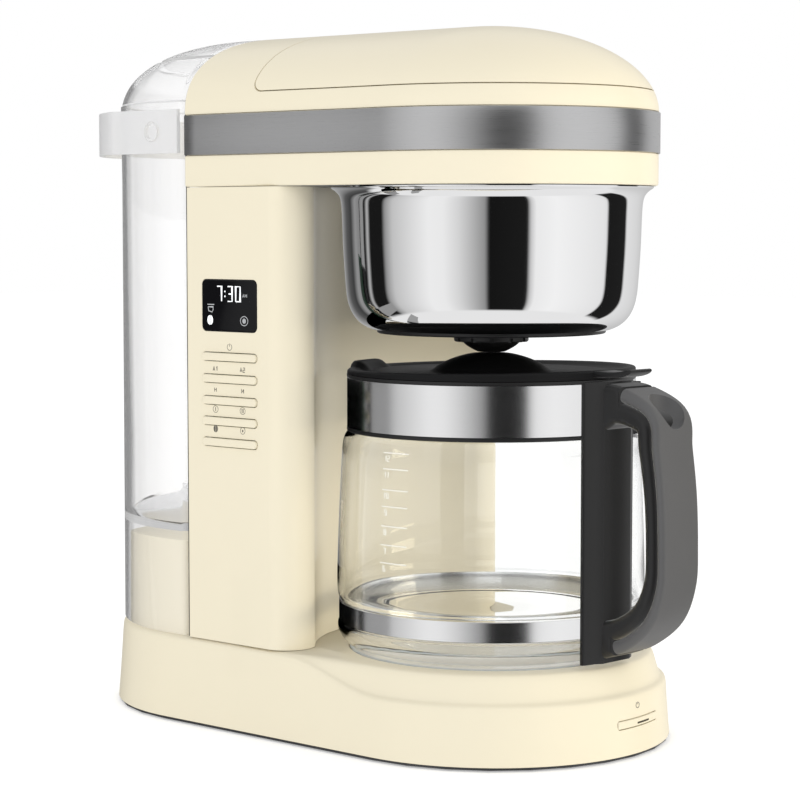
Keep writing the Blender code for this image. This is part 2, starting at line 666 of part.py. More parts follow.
def build_head(root):
    """Head shell with the fixed rear of its dome, its floor, the metal strap and the brew lid."""
    half = HEAD_REAR_HALF + 0.02
    shell = loft("head_shell", head_rings(True), CREAM, root, cap_low=False)
    solidify(shell, WALL)
    cut(shell, prism("lid_opening", lid_outline(-SEAM / 2), -half, half, None, root, axis='Y'))

    strap_path = head_ring(STRAP_Z[0])
    order = strap_path[ARC_STEPS + 1 + SIDE_STEPS:] + strap_path[:ARC_STEPS + 1 + SIDE_STEPS]
    bm = bmesh.new()
    rows = []
    for z in (STRAP_Z[0], STRAP_Z[1]):
        row = []
        for x, y, _ in order:
            reach = math.hypot(max(x, 0.0), y)
            grow = (reach + STRAP_PROUD) / reach
            row.append(bm.verts.new((x * grow if x > 0 else x, y * grow, z)))
        rows.append(row)
    for i in range(len(order) - 1):
        bm.faces.new((rows[0][i], rows[0][i + 1], rows[1][i + 1], rows[1][i]))
    strap = smooth(new_object("metal_strap", mesh_from(bm, "metal_strap"), BRUSHED, root))
    solidify(strap, STRAP_PROUD + STRAP_GROOVE - 2 * GAP)

    floor_z = HEAD_Z + 0.0016
    inset = WALL + 0.0010
    rear = SEAM_X + SEAM + inset
    plan = [(max(x, rear), y) for x, y, _ in head_ring(floor_z, inset)]
    floor = prism("head_floor", plan, floor_z, floor_z + 0.0022, DARK, root)
    cut(floor, cylinder("riser_hole", HOSE_R + 0.0010, HEAD_Z - 0.01, HEAD_Z + 0.02, RISER_AT,
                        None, root, segments=16))
    cut(floor, cylinder("basket_hole", BASKET_R + 0.0040, HEAD_Z - 0.01, HEAD_Z + 0.02,
                        (0.0, 0.0), None, root, segments=TURN_STEPS))

    hinge = (LID_X, 0.0, DOME_Z + DOME_RISE)
    lid = loft("brew_lid", head_rings(False), CREAM, root, at=hinge, cap_low=False)
    solidify(lid, WALL)
    cut(lid, prism("lid_space", lid_outline(SEAM / 2), -half, half, None, root, axis='Y'),
        'INTERSECT')

    liner_r = HEAD_R - WALL - 0.0070
    plan = arc((0.0, 0.0), liner_r, -90, 90, 20)
    plan += [(LID_X + 0.012, liner_r), (LID_X + 0.012, -liner_r)]
    liner = prism("lid_liner", plan, LID_Z + 0.0020, LID_Z + 0.0038, DARK, root, at=hinge)
    bevel(liner, 0.0005, 1)
    top = LID_Z + 0.0020 - GAP
    turned("showerhead", [
        (0.0, top), (0.0420, top), (0.0420, top - 0.0040), (0.0390, top - 0.0090),
        (0.0, top - 0.0090)], DARK, root, steps=28)


# ---------------------------------------------------------------- the bowl and what it holds
def build_bowl(root):
    """Chrome filter bowl, its black base, the brew basket and the drip stop."""
    rim, body = BOWL_RIM_R, BOWL_R
    outer = [(rim, HEAD_Z - 0.0004), (rim - 0.0010, HEAD_Z - 0.0016),
             (body + 0.0016, HEAD_Z - 0.0040), (body, HEAD_Z - 0.0090),
             (body - 0.0012, HEAD_Z - 0.0380), (body - 0.0022, HEAD_Z - 0.0530),
             (body - 0.0037, HEAD_Z - 0.0595),
             (body - 0.0064, HEAD_Z - 0.0645), (body - 0.0112, HEAD_Z - 0.0688),
             (body - 0.0164, HEAD_Z - 0.0706)]
    inner = [(BOWL_BASE_R + GAP, HEAD_Z - 0.0700), (body - 0.0112, HEAD_Z - 0.0676),
             (body - 0.0051, HEAD_Z - 0.0600), (body - 0.0032, HEAD_Z - 0.0528),
             (body - 0.0010, HEAD_Z - 0.0088), (body + 0.0006, HEAD_Z - 0.0032),
             (rim - 0.0014, HEAD_Z - 0.0002)]
    turned("filter_bowl", outer + inner, CHROME, root, steps=40, closed=True)

    base = BOWL_BASE_Z
    turned("bowl_base", [
        (BOWL_BASE_R, base + 0.0020), (BOWL_BASE_R, base + 0.0008), (BOWL_BASE_R - 0.001, base),
        (VALVE_RING_R + GAP, base), (VALVE_RING_R + GAP, base + 0.0020)], BLACK, root, closed=True)

    turned("valve_ring", [
        (VALVE_RING_R, base + 0.0016), (VALVE_RING_R, VALVE_TIP_Z + 0.0056),
        (VALVE_RING_R - 0.0006, VALVE_TIP_Z + 0.0050), (VALVE_R + 0.0010, VALVE_TIP_Z + 0.0050),
        (VALVE_R + 0.0006, VALVE_TIP_Z + 0.0056), (VALVE_R + 0.0006, base + 0.0016)],
        DARK, root, steps=28, closed=True)

    bottom = BASKET_Z
    wall = 0.0020
    turned("brew_basket", [
        (BASKET_R + 0.0035, HEAD_Z + 0.0080), (BASKET_R + 0.0035, HEAD_Z + 0.0065),
        (BASKET_R, HEAD_Z + 0.0065), (BASKET_R - 0.0020, bottom + 0.020),
        (BASKET_R - 0.0120, bottom + 0.004), (BASKET_R - 0.0200, bottom),
        (STEM_R + 0.0006, bottom), (STEM_R + 0.0006, bottom + wall),
        (BASKET_R - 0.0205, bottom + wall), (BASKET_R - 0.0130, bottom + wall + 0.004),
        (BASKET_R - 0.0040, bottom + 0.021), (BASKET_R - wall, HEAD_Z + 0.0080)],
        BLACK, root, steps=30, closed=True)

    tip = VALVE_TIP_Z
    turned("drip_stop_valve", [
        (0.0, BASKET_Z + 0.0060), (STEM_R - 0.0010, BASKET_Z + 0.0060), (STEM_R, BASKET_Z + 0.0045),
        (STEM_R, tip + 0.0070), (VALVE_R - 0.0016, tip + 0.0070), (VALVE_R, tip + 0.0062),
        (VALVE_R, tip + 0.0056), (VALVE_R - 0.0012, tip + 0.0040), (0.0105, tip + 0.0018),
        (0.0070, tip), (0.0, tip)], BLACK, root, steps=28)

    low, high = tip + 0.0070 + 0.0006 + GAP, BASKET_Z - 0.0006 - GAP
    turns, per_turn, radius = 3.5, 8, STEM_R + 0.0016
    count = int(turns * per_turn)
    points = []
    for i in range(count + 1):
        angle = 2 * math.pi * i / per_turn
        points.append((radius * math.cos(angle), radius * math.sin(angle),
                       low + (high - low) * i / count))
    tube("drip_stop_spring", points, 0.0005, STEEL, root, samples=0)


# ---------------------------------------------------------------- the water tank
def tank_dome_rings(low, high, steps):
    """Levels of the tank's dome, which carries on the head's curve."""
    start = math.asin(min(1.0, max(0.0, (low - DOME_Z) / DOME_RISE)))
    end = math.asin(min(1.0, (high - DOME_Z) / DOME_RISE))
    rings = []
    for i in range(steps + 1):
        z = DOME_Z + DOME_RISE * math.sin(start + (end - start) * i / steps)
        rings.append(tank_ring(z, ratio=dome_ratio(z, 1.0)))
    return rings


def build_tank(root):
    """Clear tank with a skirt over its dock, its shoulder, filling lid, handle and valve."""
    dock_inset = TANK_WALL + DOCK_CLEARANCE
    dock = loft("tank_dock", [tank_ring(DECK_Z + GAP, dock_inset),
                              tank_ring(DOCK_TOP_Z - 0.001, dock_inset),
                              tank_ring(DOCK_TOP_Z, dock_inset + 0.001)], CREAM, root,
                cap_low=False)
    solidify(dock, WALL)
    cut(dock, cylinder("dock_port", TANK_PORT_R + 0.0035, DOCK_TOP_Z - 0.01, DOCK_TOP_Z + 0.01,
                       TANK_PORT, None, root))
    turned("dock_seal", [
        (TANK_PORT_R + 0.0032, DOCK_TOP_Z + 0.0005), (TANK_PORT_R + 0.0032, DOCK_TOP_Z - 0.0040),
        (TANK_PORT_R + GAP * 2, DOCK_TOP_Z - 0.0040), (TANK_PORT_R + GAP * 2, DOCK_TOP_Z + 0.0005)],
        SILICONE, root, TANK_PORT, 28, closed=True)

    body = loft("tank_body", [tank_ring(DECK_Z + 0.0006, 0.0), tank_ring(DECK_Z + 0.10, 0.0002),
                              tank_ring(TANK_TOP_Z - 0.04, 0.0004), tank_ring(TANK_TOP_Z, 0.0)],
                CLEAR, root)
    cut(body, loft("tank_inside", [
        tank_ring(TANK_FLOOR_Z + TANK_WALL, TANK_WALL + 0.006),
        tank_ring(TANK_FLOOR_Z + TANK_WALL + 0.0018, TANK_WALL + 0.0018),
        tank_ring(TANK_FLOOR_Z + TANK_WALL + 0.006, TANK_WALL + 0.0004),
        tank_ring(TANK_TOP_Z + 0.01, TANK_WALL)], None, root))
    cut(body, loft("tank_skirt_inside", [
        tank_ring(DECK_Z - 0.01, TANK_WALL), tank_ring(TANK_FLOOR_Z, TANK_WALL + 0.0002)],
        None, root))
    cut(body, cylinder("tank_port", TANK_PORT_R - 0.0016, TANK_FLOOR_Z - 0.02,
                       TANK_FLOOR_Z + 0.02, TANK_PORT, None, root, segments=24))
    stem = TANK_PORT_R - 0.0016 - GAP
    turned("tank_valve", [
        (0.0, TANK_FLOOR_Z + 0.0060), (TANK_PORT_R, TANK_FLOOR_Z + 0.0060),
        (TANK_PORT_R, TANK_FLOOR_Z + TANK_WALL + GAP), (stem, TANK_FLOOR_Z + TANK_WALL + GAP),
        (stem, DOCK_TOP_Z - 0.0060), (stem - 0.0012, DOCK_TOP_Z - 0.0080),
        (0.0, DOCK_TOP_Z - 0.0080)], FROSTED, root, TANK_PORT, 28)

    shoulder = loft("tank_shoulder", tank_dome_rings(TANK_TOP_Z + 3 * GAP, FLAP_Z - TANK_WALL / 4, 5),
                    CLEAR, root, cap_low=False, cap_high=False)
    solidify(shoulder, TANK_WALL - 0.0004)
    crown = DOME_Z + DOME_RISE * math.sin(math.radians(85))
    flap = loft("tank_lid", tank_dome_rings(FLAP_Z + TANK_WALL / 2, crown, 6), CLEAR, root,
                at=(SEAM_X - SEAM, 0.0, DOME_Z + DOME_RISE), cap_low=False)
    solidify(flap, TANK_WALL - 0.0004)

    build_bail(root)


def build_bail(root):
    """Carrying handle: a flat band from pivot to pivot round the back of the tank."""
    pivot_x, pivot_z = BAIL_PIVOT
    inner = TANK_R + BAIL_CLEARANCE
    front = SEAM_X - SEAM - 0.0012
    reach = BAIL_REACH_R - BAIL_THICKNESS
    half = [(front, inner), (pivot_x - 0.008, inner)]
    turn = arc((REAR_AXIS_X, 0.0), reach, 112, 180, 16)
    half += [((half[-1][0] * 0.55 + turn[0][0] * 0.45), inner + 0.0006)]
    path = half + turn
    path += [(x, -y) for x, y in reversed(path[:-1])]
    bm = bmesh.new()
    rows = []
    for z in (pivot_z - BAIL_HEIGHT / 2, pivot_z + BAIL_HEIGHT / 2):
        rows.append([bm.verts.new((x, y, z)) for x, y in path])
    for i in range(len(path) - 1):
        bm.faces.new((rows[0][i], rows[0][i + 1], rows[1][i + 1], rows[1][i]))
    bail = smooth(new_object("tank_handle", mesh_from(bm, "tank_handle"), FROSTED, root,
                             (pivot_x, 0.0, pivot_z)))
    wall = solidify(bail, BAIL_THICKNESS).modifiers["wall"]
    wall.offset = 1.0
    for side, name in ((-1, "left"), (1, "right")):
        cut(bail, cylinder(f"pivot_hole_{name}", PIVOT_R + GAP,
                           side * (TANK_R + 0.005) - 0.005, side * (TANK_R + 0.005) + 0.005,
                           BAIL_PIVOT, None, root, axis='Y', segments=24))
        start = side * (TANK_R + GAP)
        end = side * (TANK_R + BAIL_CLEARANCE + BAIL_THICKNESS + 0.0003)
        cylinder(f"pivot_stud_{name}", PIVOT_R, min(start, end), max(start, end), BAIL_PIVOT,
                 FROSTED, root, axis='Y', segments=24)


# ---------------------------------------------------------------- the carafe
def build_jug(carafe):
    """Glass jug, the collar round its neck and its two metal bands."""
    s = JUG_SCALE
    bottom = HOTPLATE_TOP + GAP
    band_r = 0.0752 * s
    outer = [
        (NECK_R, COLLAR_Z[1] - 0.0030), (NECK_R, COLLAR_Z[0] + 0.0030),
        (0.0704 * s, COLLAR_Z[0] + 0.0002), (0.0728 * s, COLLAR_Z[0] - 0.0022),
        (0.0743 * s, COLLAR_Z[0] - 0.0070), (0.0757 * s, 0.1200), (0.0768 * s, 0.0900),
        (0.0770 * s, 0.0790), (0.0767 * s, LOWER_BAND_Z[1] + 0.0030),
        (band_r, LOWER_BAND_Z[1] + GAP), (band_r, LOWER_BAND_Z[0] - GAP),
        (0.0769 * s, LOWER_BAND_Z[0] - 0.0012), (0.0762 * s, bottom + 0.0065),
        (0.0722 * s, bottom + 0.0014), (0.0660 * s, bottom), (0.0560 * s, bottom + 0.0010),
        (0.0, bottom + 0.0016)]
    w = JUG_WALL
    inner = [
        (0.0, bottom + 0.0016 + w), (0.0560 * s, bottom + 0.0010 + w),
        (0.0665 * s, bottom + 0.0014 + w), (band_r - w, bottom + 0.0120),
        (0.0767 * s - w, 0.0850), (0.0757 * s - w, 0.1200),
        (0.0741 * s - w, COLLAR_Z[0] - 0.0070), (NECK_R - w, COLLAR_Z[0] + 0.0040),
        (NECK_R - w, COLLAR_Z[1] - 0.0030)]
    turned("glass_jug", inner + outer, GLASS, carafe)

    trim = COLLAR_R + 0.0001
    core = COLLAR_R - 0.0009
    turned("carafe_collar", [
        (trim, COLLAR_Z[1]), (trim, COLLAR_BAND_Z[1] + GAP), (core, COLLAR_BAND_Z[1] + GAP),
        (core, COLLAR_BAND_Z[0] - GAP), (trim, COLLAR_BAND_Z[0] - GAP), (trim, COLLAR_Z[0]),
        (COLLAR_R - 0.0001, COLLAR_Z[0] - 0.0006), (0.0704 * s + 0.0007, COLLAR_Z[0] + 0.0006),
        (NECK_R + GAP, COLLAR_Z[0] + 0.0036), (NECK_R + GAP, COLLAR_Z[1] - 0.0020),
        (NECK_R - JUG_WALL, COLLAR_Z[1] - 0.0020), (NECK_R - JUG_WALL, COLLAR_Z[1])],
        BLACK, carafe, closed=True)
    turned("collar_band", [
        (COLLAR_R, COLLAR_BAND_Z[1]), (COLLAR_R, COLLAR_BAND_Z[0]),
        (core + GAP, COLLAR_BAND_Z[0]), (core + GAP, COLLAR_BAND_Z[1])], BRUSHED, carafe,
        steps=44, closed=True)
    turned("lower_band", [
        (band_r + 0.0009, LOWER_BAND_Z[1]), (band_r + 0.0009, LOWER_BAND_Z[0]),
        (band_r + GAP, LOWER_BAND_Z[0]), (band_r + GAP, LOWER_BAND_Z[1])], BRUSHED, carafe,
        steps=44, closed=True)


def root_radius():
    """What the handle's root plate stands off: the wider of the glass and the collar."""
    return max(JUG_R, COLLAR_R)


def handle_stations():
    """Stations along the grip: place, thickness and width, from the root at the top to the foot."""
    out, wide = HANDLE_REACH, root_radius()
    return smooth_path([
        (wide + 0.0025, 0.1690, 0.0225, HANDLE_W),
        (wide + 0.0130, 0.1705, 0.0180, HANDLE_W - 0.0008),
        (out - 0.0130, 0.1640, 0.0150, HANDLE_W), (out - 0.0103, 0.1500, 0.0135, HANDLE_W),
        (out - 0.0073, 0.1280, 0.0128, HANDLE_W), (out - 0.0063, 0.1040, 0.0126, HANDLE_W),
        (out - 0.0072, 0.0870, 0.0130, HANDLE_W), (out - 0.0138, 0.0722, 0.0145, HANDLE_W),
        (wide + 0.0160, 0.0622, 0.0160, HANDLE_W - 0.0008),
        (wide + 0.0025, 0.0576, 0.0180, HANDLE_W)],
        GRIP_STEPS)


def grip_sweep(name, first, last, side, material, carafe):
    """Sweep a rounded section along the grip; side is -1 inside, 1 outside the parting line."""
    stations = handle_stations()
    count = len(stations)
    rings = []
    for i in range(first, last + 1):
        x, z, thick, width = stations[i]
        before, after = stations[max(i - 1, 0)], stations[min(i + 1, count - 1)]
        run = Vector((after[0] - before[0], after[1] - before[1])).normalized()
        normal = Vector((-run.y, run.x))
        split = thick * 0.08
        if side < 0:
            low = -thick / 2
            high = split if GRIP_SPAN[0] < i < GRIP_SPAN[1] else thick / 2
        else:
            low, high = split + GAP * 1.5, thick / 2
            width = width + 0.0004
        corner = min(0.0035, (high - low) * 0.42)
        ring = []
        for a, b in rounded_rect((-width / 2, low), (width / 2, high), corner):
            ring.append((x + normal.x * b, a, z + normal.y * b))
        rings.append(ring)
    return loft(name, rings, material, carafe)


def build_handle(carafe):
    """Root plate up the side of the jug, the grip and its outer cover."""
    core = grip_sweep("carafe_handle", 0, GRIP_STEPS, -1, BLACK, carafe)
    face = root_radius() + 0.0009
    plate = [(face, -0.0232), (face + 0.0018, -0.0232), (face + 0.0055, -0.0130),
             (face + 0.0055, 0.0100), (face + 0.0022, 0.0190), (face, 0.0190)]
    root_plate = prism("root_plate", plate, HOTPLATE_TOP + 0.0020, COLLAR_Z[1], None, carafe)
    cut(core, root_plate, 'UNION')
    neck = [(COLLAR_R + GAP * 2, -0.0150), (face + 0.0030, -0.0175), (face + 0.0030, 0.0175),
            (COLLAR_R + GAP * 2, 0.0150)]
    neck_block = prism("neck_block", neck, COLLAR_Z[0] + 0.0014, COLLAR_Z[1] - 0.0010, None,
                       carafe)
    cut(core, neck_block, 'UNION')
    clear = cylinder("collar_clearance", COLLAR_R + GAP + 0.0001, COLLAR_Z[0] - 0.01,
                     COLLAR_Z[1] + 0.02, (0.0, 0.0), None, carafe, segments=48)
    cut(core, clear)
    jug_clear = cylinder("jug_clearance", JUG_R + 0.0006, HOTPLATE_TOP - 0.01,
                         COLLAR_Z[0] + 0.0002, (0.0, 0.0), None, carafe, segments=48)
    cut(core, jug_clear)
    grip_sweep("grip_cover", GRIP_SPAN[0] + 1, GRIP_SPAN[1] - 1, 1, GRIP, carafe)


def build_carafe_lid(carafe):
    """Black lid, dished round a central cone, and the thumb lever behind it."""
    r, z, top = CARAFE_LID_R, CARAFE_LID_Z, CARAFE_LID_TOP
    turned("carafe_lid", [
        (0.0030, top), (0.0080, top), (0.0140, top - 0.0012), (0.0215, top - 0.0038),
        (0.0300, top - 0.0084), (0.0600, top - 0.0094), (0.0670, top - 0.0064),
        (r - 0.0012, top - 0.0062), (r, top - 0.0074), (r, z),
        (NECK_R - JUG_WALL - 0.0012, z), (NECK_R - JUG_WALL - 0.0012, z - 0.0060),
        (NECK_R - JUG_WALL - 0.0030, z - 0.0060), (NECK_R - JUG_WALL - 0.0030, z - 0.0012),
        (0.0280, z - 0.0012), (0.0150, z + 0.0020), (0.0030, z + 0.0060)], BLACK, carafe,
        closed=True)
    x = LID_HINGE[0]
    half = 0.0080
    side = [(x - 0.0014, z + 0.0012), (x + 0.0070, z + 0.0012), (x + 0.0150, z + 0.0014),
            (x + 0.0215, z + 0.0036), (x + 0.0210, z + 0.0056), (x + 0.0150, z + 0.0034),
            (x + 0.0060, z + 0.0032), (x - 0.0014, z + 0.0036)]
    lever = prism("thumb_lever", side, -half, half, BLACK, carafe, axis='Y',
                  at=(LID_HINGE[0], 0.0, LID_HINGE[1]))
    bevel(lever, 0.0006)


# ---------------------------------------------------------------- assembly
def build():
    """Make every piece on the empty that sets the machine over the origin."""
    root = new_empty("machine", (BREW_X, 0.0, 0.0))
    build_base(root)
    build_gland(root)
    build_hotplate(root)
    build_start_button(root)
    build_tower(root)
    build_water_path(root)
    build_head(root)
    build_bowl(root)
    build_tank(root)
    carafe = new_empty("carafe", (0.0, 0.0, 0.0), root, HANDLE_TURN)
    build_jug(carafe)
    build_handle(carafe)
    build_carafe_lid(carafe)


build()
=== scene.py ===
"""Looks of the drip coffee maker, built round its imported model."""

import json
import math

import bmesh
import bpy
from mathutils import Matrix, Vector


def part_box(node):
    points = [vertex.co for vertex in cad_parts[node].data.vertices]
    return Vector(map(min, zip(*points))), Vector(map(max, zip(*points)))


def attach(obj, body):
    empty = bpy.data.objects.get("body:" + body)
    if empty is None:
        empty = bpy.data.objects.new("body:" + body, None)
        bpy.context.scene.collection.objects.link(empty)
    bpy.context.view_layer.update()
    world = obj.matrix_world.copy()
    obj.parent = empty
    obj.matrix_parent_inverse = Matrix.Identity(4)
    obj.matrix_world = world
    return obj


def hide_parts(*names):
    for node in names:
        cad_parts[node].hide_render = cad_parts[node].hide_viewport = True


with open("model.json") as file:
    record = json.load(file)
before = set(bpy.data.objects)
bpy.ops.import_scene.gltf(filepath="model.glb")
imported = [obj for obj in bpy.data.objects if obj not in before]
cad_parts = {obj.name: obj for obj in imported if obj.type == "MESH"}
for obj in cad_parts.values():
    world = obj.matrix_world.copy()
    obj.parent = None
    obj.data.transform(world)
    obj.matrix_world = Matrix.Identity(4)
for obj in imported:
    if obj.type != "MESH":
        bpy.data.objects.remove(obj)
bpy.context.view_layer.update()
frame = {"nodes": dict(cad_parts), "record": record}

# ---------------------------------------------------------------- sizes, in metres
brew_low, brew_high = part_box("hotplate")
BREW_X = (brew_low[0] + brew_high[0]) / 2     # the brew axis, in the row frame

GAP = 0.0003            # between parts that would touch
WALL = 0.0025           # of the casings
SEAM = 0.0006           # half the gap at the tank's front, and the gap round the brew lid

BASE_R = 0.0900
BASE_TOP_R = 0.0880
PLATEAU_R = 0.0835
REAR_AXIS_X = -0.144
SHELL_Z = 0.0022
SHOULDER_Z = 0.0310
DECK_Z = 0.0445

SEAM_X = -0.1292
TOWER_HALF = 0.0855
TOWER_BAY_R = 0.0880
TOWER_CORNER_R = 0.0140

HEAD_Z = 0.2740
HEAD_R = 0.0822
HEAD_REAR_HALF = 0.0865
STRAP_Z = (0.2898, 0.3097)
STRAP_PROUD = 0.0008
STRAP_GROOVE = 0.0010
DOME_Z = 0.3100
DOME_RISE = 0.0422
DOME_POWER = (2.0, 2.35)
CROWN_Z = DOME_Z + DOME_RISE
LID_Z = 0.3203
LID_X = -0.0840
LID_CORNER_R = 0.0060
LIP_WALL = 0.0009

TANK_R = 0.0860
TANK_WALL = 0.0024
TANK_CORNER_R = 0.0040
TANK_FLOOR_Z = 0.0985
TANK_TOP_Z = 0.3170
FLAP_Z = 0.3402
DOCK_TOP_Z = 0.0940
DOCK_CLEARANCE = 0.0015
TANK_PORT = (-0.170, 0.0)
TANK_PORT_R = 0.0080
DOCK_WELL_R = TANK_PORT_R + 0.0035

BAIL_PIVOT = (-0.150, 0.302)
BAIL_HEIGHT = 0.0220
BAIL_THICKNESS = 0.0024
BAIL_CLEARANCE = 0.0016
BAIL_REACH_R = 0.0975
PIVOT_R = 0.0048

HOTPLATE_R = 0.0690
HOTPLATE_HOLE_R = HOTPLATE_R + 0.0022
HOTPLATE_TOP = 0.0452

JUG_R = 0.0770
JUG_WALL = 0.0022
NECK_R = 0.0682
COLLAR_Z = (0.1536, 0.1812)
COLLAR_BAND_Z = (0.1549, 0.1796)
COLLAR_R = 0.0719
LOWER_BAND_Z = (0.0585, 0.0684)
LOWER_BAND_R = 0.0752
CARAFE_LID_R = 0.0718
CARAFE_LID_Z = 0.1815
CARAFE_LID_TOP = 0.1915
HANDLE_TURN = math.radians(-3.0)
HANDLE_W = 0.0272
HANDLE_REACH = 0.1200
LID_HINGE_X = 0.0735

BOWL_RIM_R = 0.0800
BOWL_R = 0.0742
BOWL_BASE_R = 0.0570
BOWL_BASE_Z = 0.2014
VALVE_TIP_Z = CARAFE_LID_TOP + 0.0006
VALVE_RING_R = 0.0186
VALVE_R = 0.0148
NOTCHES = 12            # round the valve ring
STEM_R = 0.0040
BASKET_Z = BOWL_BASE_Z + 0.0080

PANEL_X = (-0.1177, -0.0795)
DISPLAY_Z = (0.2020, 0.2275)
BAR_Z = (0.1890, 0.1780, 0.1670, 0.1566, 0.1460)
BAR_HEIGHT = 0.0040
BAR_PROUD = 0.0012
LENS_PROUD = 0.0003
PANEL_GAP = 0.0004
START_Z = (0.0151, 0.0189)
START_WIDTH = 0.0345
START_TURN = math.radians(3.7)
PANEL_CORNER_R = 0.0025
START_CORNER_R = 0.0018

ROUND_STEPS = 64        # round a half turn
SIDE_STEPS = 16
TURN_STEPS = 144        # round a full turn
HALF_TURN = [math.radians(-90 + 180 * i / ROUND_STEPS) for i in range(ROUND_STEPS + 1)]
MARGIN = 0.010          # how far a cutter reaches past what it cuts

MACHINE = Matrix.Translation((BREW_X, 0.0, 0.0))
CARAFE = MACHINE @ Matrix.Rotation(HANDLE_TURN, 4, 'Z')


# ---------------------------------------------------------------- outline helpers
def arc(centre, radius, start, end, steps):
    """Points along an arc, in degrees, both ends included."""
    points = []
    for i in range(steps + 1):
        angle = math.radians(start + (end - start) * i / steps)
        points.append((centre[0] + radius * math.cos(angle), centre[1] + radius * math.sin(angle)))
    return points


def rounded_rect(low, high, radius, steps=6):
    """Outline of a rectangle with round corners, anticlockwise."""
    (x0, y0), (x1, y1) = (low[0] + radius, low[1] + radius), (high[0] - radius, high[1] - radius)
    points = []
    for turn, centre in ((0, (x1, y1)), (90, (x0, y1)), (180, (x0, y0)), (270, (x1, y0))):
        points += arc(centre, radius, turn, turn + 90, steps)
    return points


def eased(points, times=2):
    """Round the corners of an open line by cutting them, ends kept."""
    for _ in range(times):
        cut = [points[0]]
        for a, b in zip(points, points[1:]):
            cut.append(tuple(p * 0.75 + q * 0.25 for p, q in zip(a, b)))
            cut.append(tuple(p * 0.25 + q * 0.75 for p, q in zip(a, b)))
        cut.append(points[-1])
        points = cut
    return points


def beside(radius, height, offsets):
    """Points of a profile, given by how far each lies from one place."""
    return [(radius + dr, height + dz) for dr, dz in offsets]


def smoothstep(value):
    """Ease from 0 to 1."""
    value = min(1.0, max(0.0, value))
    return value * value * (3 - 2 * value)


def smooth_path(points, samples):
    """A smooth curve through points, sampled evenly in parameter."""
    padded = [points[0]] + list(points) + [points[-1]]
    result = []
    spans = len(points) - 1
    for k in range(samples + 1):
        place = spans * k / samples
        i = min(int(place), spans - 1)
        t = place - i
        p0, p1, p2, p3 = padded[i:i + 4]
        result.append(tuple(
            0.5 * (2 * b + (c - a) * t + (2 * a - 5 * b + 4 * c - d) * t ** 2
                   + (3 * b - a - 3 * c + d) * t ** 3)
            for a, b, c, d in zip(p0, p1, p2, p3)))
    return result


# ---------------------------------------------------------------- mesh helpers
def skin(rings, cap_low=True, cap_high=True, bm=None, closed=True):
    """Skin rings of points that run anticlockwise and climb."""
    bm = bm or bmesh.new()
    rows = [[bm.verts.new(point) for point in ring] for ring in rings]
    count = len(rows[0])
    for low, high in zip(rows, rows[1:]):
        for i in range(count if closed else count - 1):
            j = (i + 1) % count
            bm.faces.new((low[i], low[j], high[j], high[i]))
    if cap_low:
        bm.faces.new(list(reversed(rows[0])))
    if cap_high:
        bm.faces.new(rows[-1])
    return bm


def turned(profile, steps=TURN_STEPS, centre=(0.0, 0.0), closed=True, bm=None):
    """Turn (radius, height) pairs round the vertical; points on the axis are shared."""
    bm = bm or bmesh.new()
    columns = []
    for r, z in profile:
        if r < 1e-6:
            columns.append([bm.verts.new((centre[0], centre[1], z))] * steps)
            continue
        column = []
        for i in range(steps):
            angle = 2 * math.pi * i / steps
            column.append(bm.verts.new((centre[0] + r * math.cos(angle),
                                        centre[1] + r * math.sin(angle), z)))
        columns.append(column)
    made = []
    pairs = list(zip(columns, columns[1:]))
    if closed:
        pairs.append((columns[-1], columns[0]))
    for a, b in pairs:
        if a[0] is a[1] and b[0] is b[1]:
            continue
        for i in range(steps):
            j = (i + 1) % steps
            corners = []
            for vert in (a[i], a[j], b[j], b[i]):
                if vert not in corners:
                    corners.append(vert)
            made.append(bm.faces.new(corners))
    bmesh.ops.recalc_face_normals(bm, faces=made)
    return bm


def plug(radius, low, high, steps, centre=(0.0, 0.0)):
    """A solid upright cylinder."""
    return turned([(0.0, low), (radius, low), (radius, high), (0.0, high)], steps, centre,
                  closed=False)


def prism(outline, low, high, axis='Z', bm=None):
    """Extrude a flat outline along an axis."""
    bm = bm or bmesh.new()
    place = {'Z': lambda a, b, c: (a, b, c), 'Y': lambda a, b, c: (a, c, b),
             'X': lambda a, b, c: (c, a, b)}[axis]
    rows = [[bm.verts.new(place(a, b, level)) for a, b in outline] for level in (low, high)]
    count = len(outline)
    made = [bm.faces.new(rows[0]), bm.faces.new(list(reversed(rows[1])))]
    for i in range(count):
        j = (i + 1) % count
        made.append(bm.faces.new((rows[0][i], rows[1][i], rows[1][j], rows[0][j])))
    bmesh.ops.recalc_face_normals(bm, faces=made)
    return bm


def tube(bm, rows, closed=False):
    """Join four rows of points into a bar, with ends where it is open."""
    rows = [[bm.verts.new(point) for point in row] for row in rows]
    count = len(rows[0])
    made = []
    for i in range(count if closed else count - 1):
        j = (i + 1) % count
        for low, high in zip(rows, rows[1:] + rows[:1]):
            made.append(bm.faces.new((low[i], low[j], high[j], high[i])))
    for i in () if closed else (0, count - 1):
        made.append(bm.faces.new([row[i] for row in rows]))
    bmesh.ops.recalc_face_normals(bm, faces=made)
    return bm


def to_object(name, bm, place=MACHINE):
    """Turn a bmesh into a linked object, set in the row frame."""
    mesh = bpy.data.meshes.new(name)
    bm.to_mesh(mesh)
    bm.free()
    mesh.transform(place)
    obj = bpy.data.objects.new(name, mesh)
    bpy.context.scene.collection.objects.link(obj)
    return obj


def settle(obj):
    """Apply an object's modifiers."""
    bpy.context.view_layer.update()
    graph = bpy.context.evaluated_depsgraph_get()
    mesh = bpy.data.meshes.new_from_object(obj.evaluated_get(graph))
    old = obj.data
    obj.modifiers.clear()
    obj.data = mesh
    bpy.data.meshes.remove(old)
    mesh.name = obj.name
    return obj


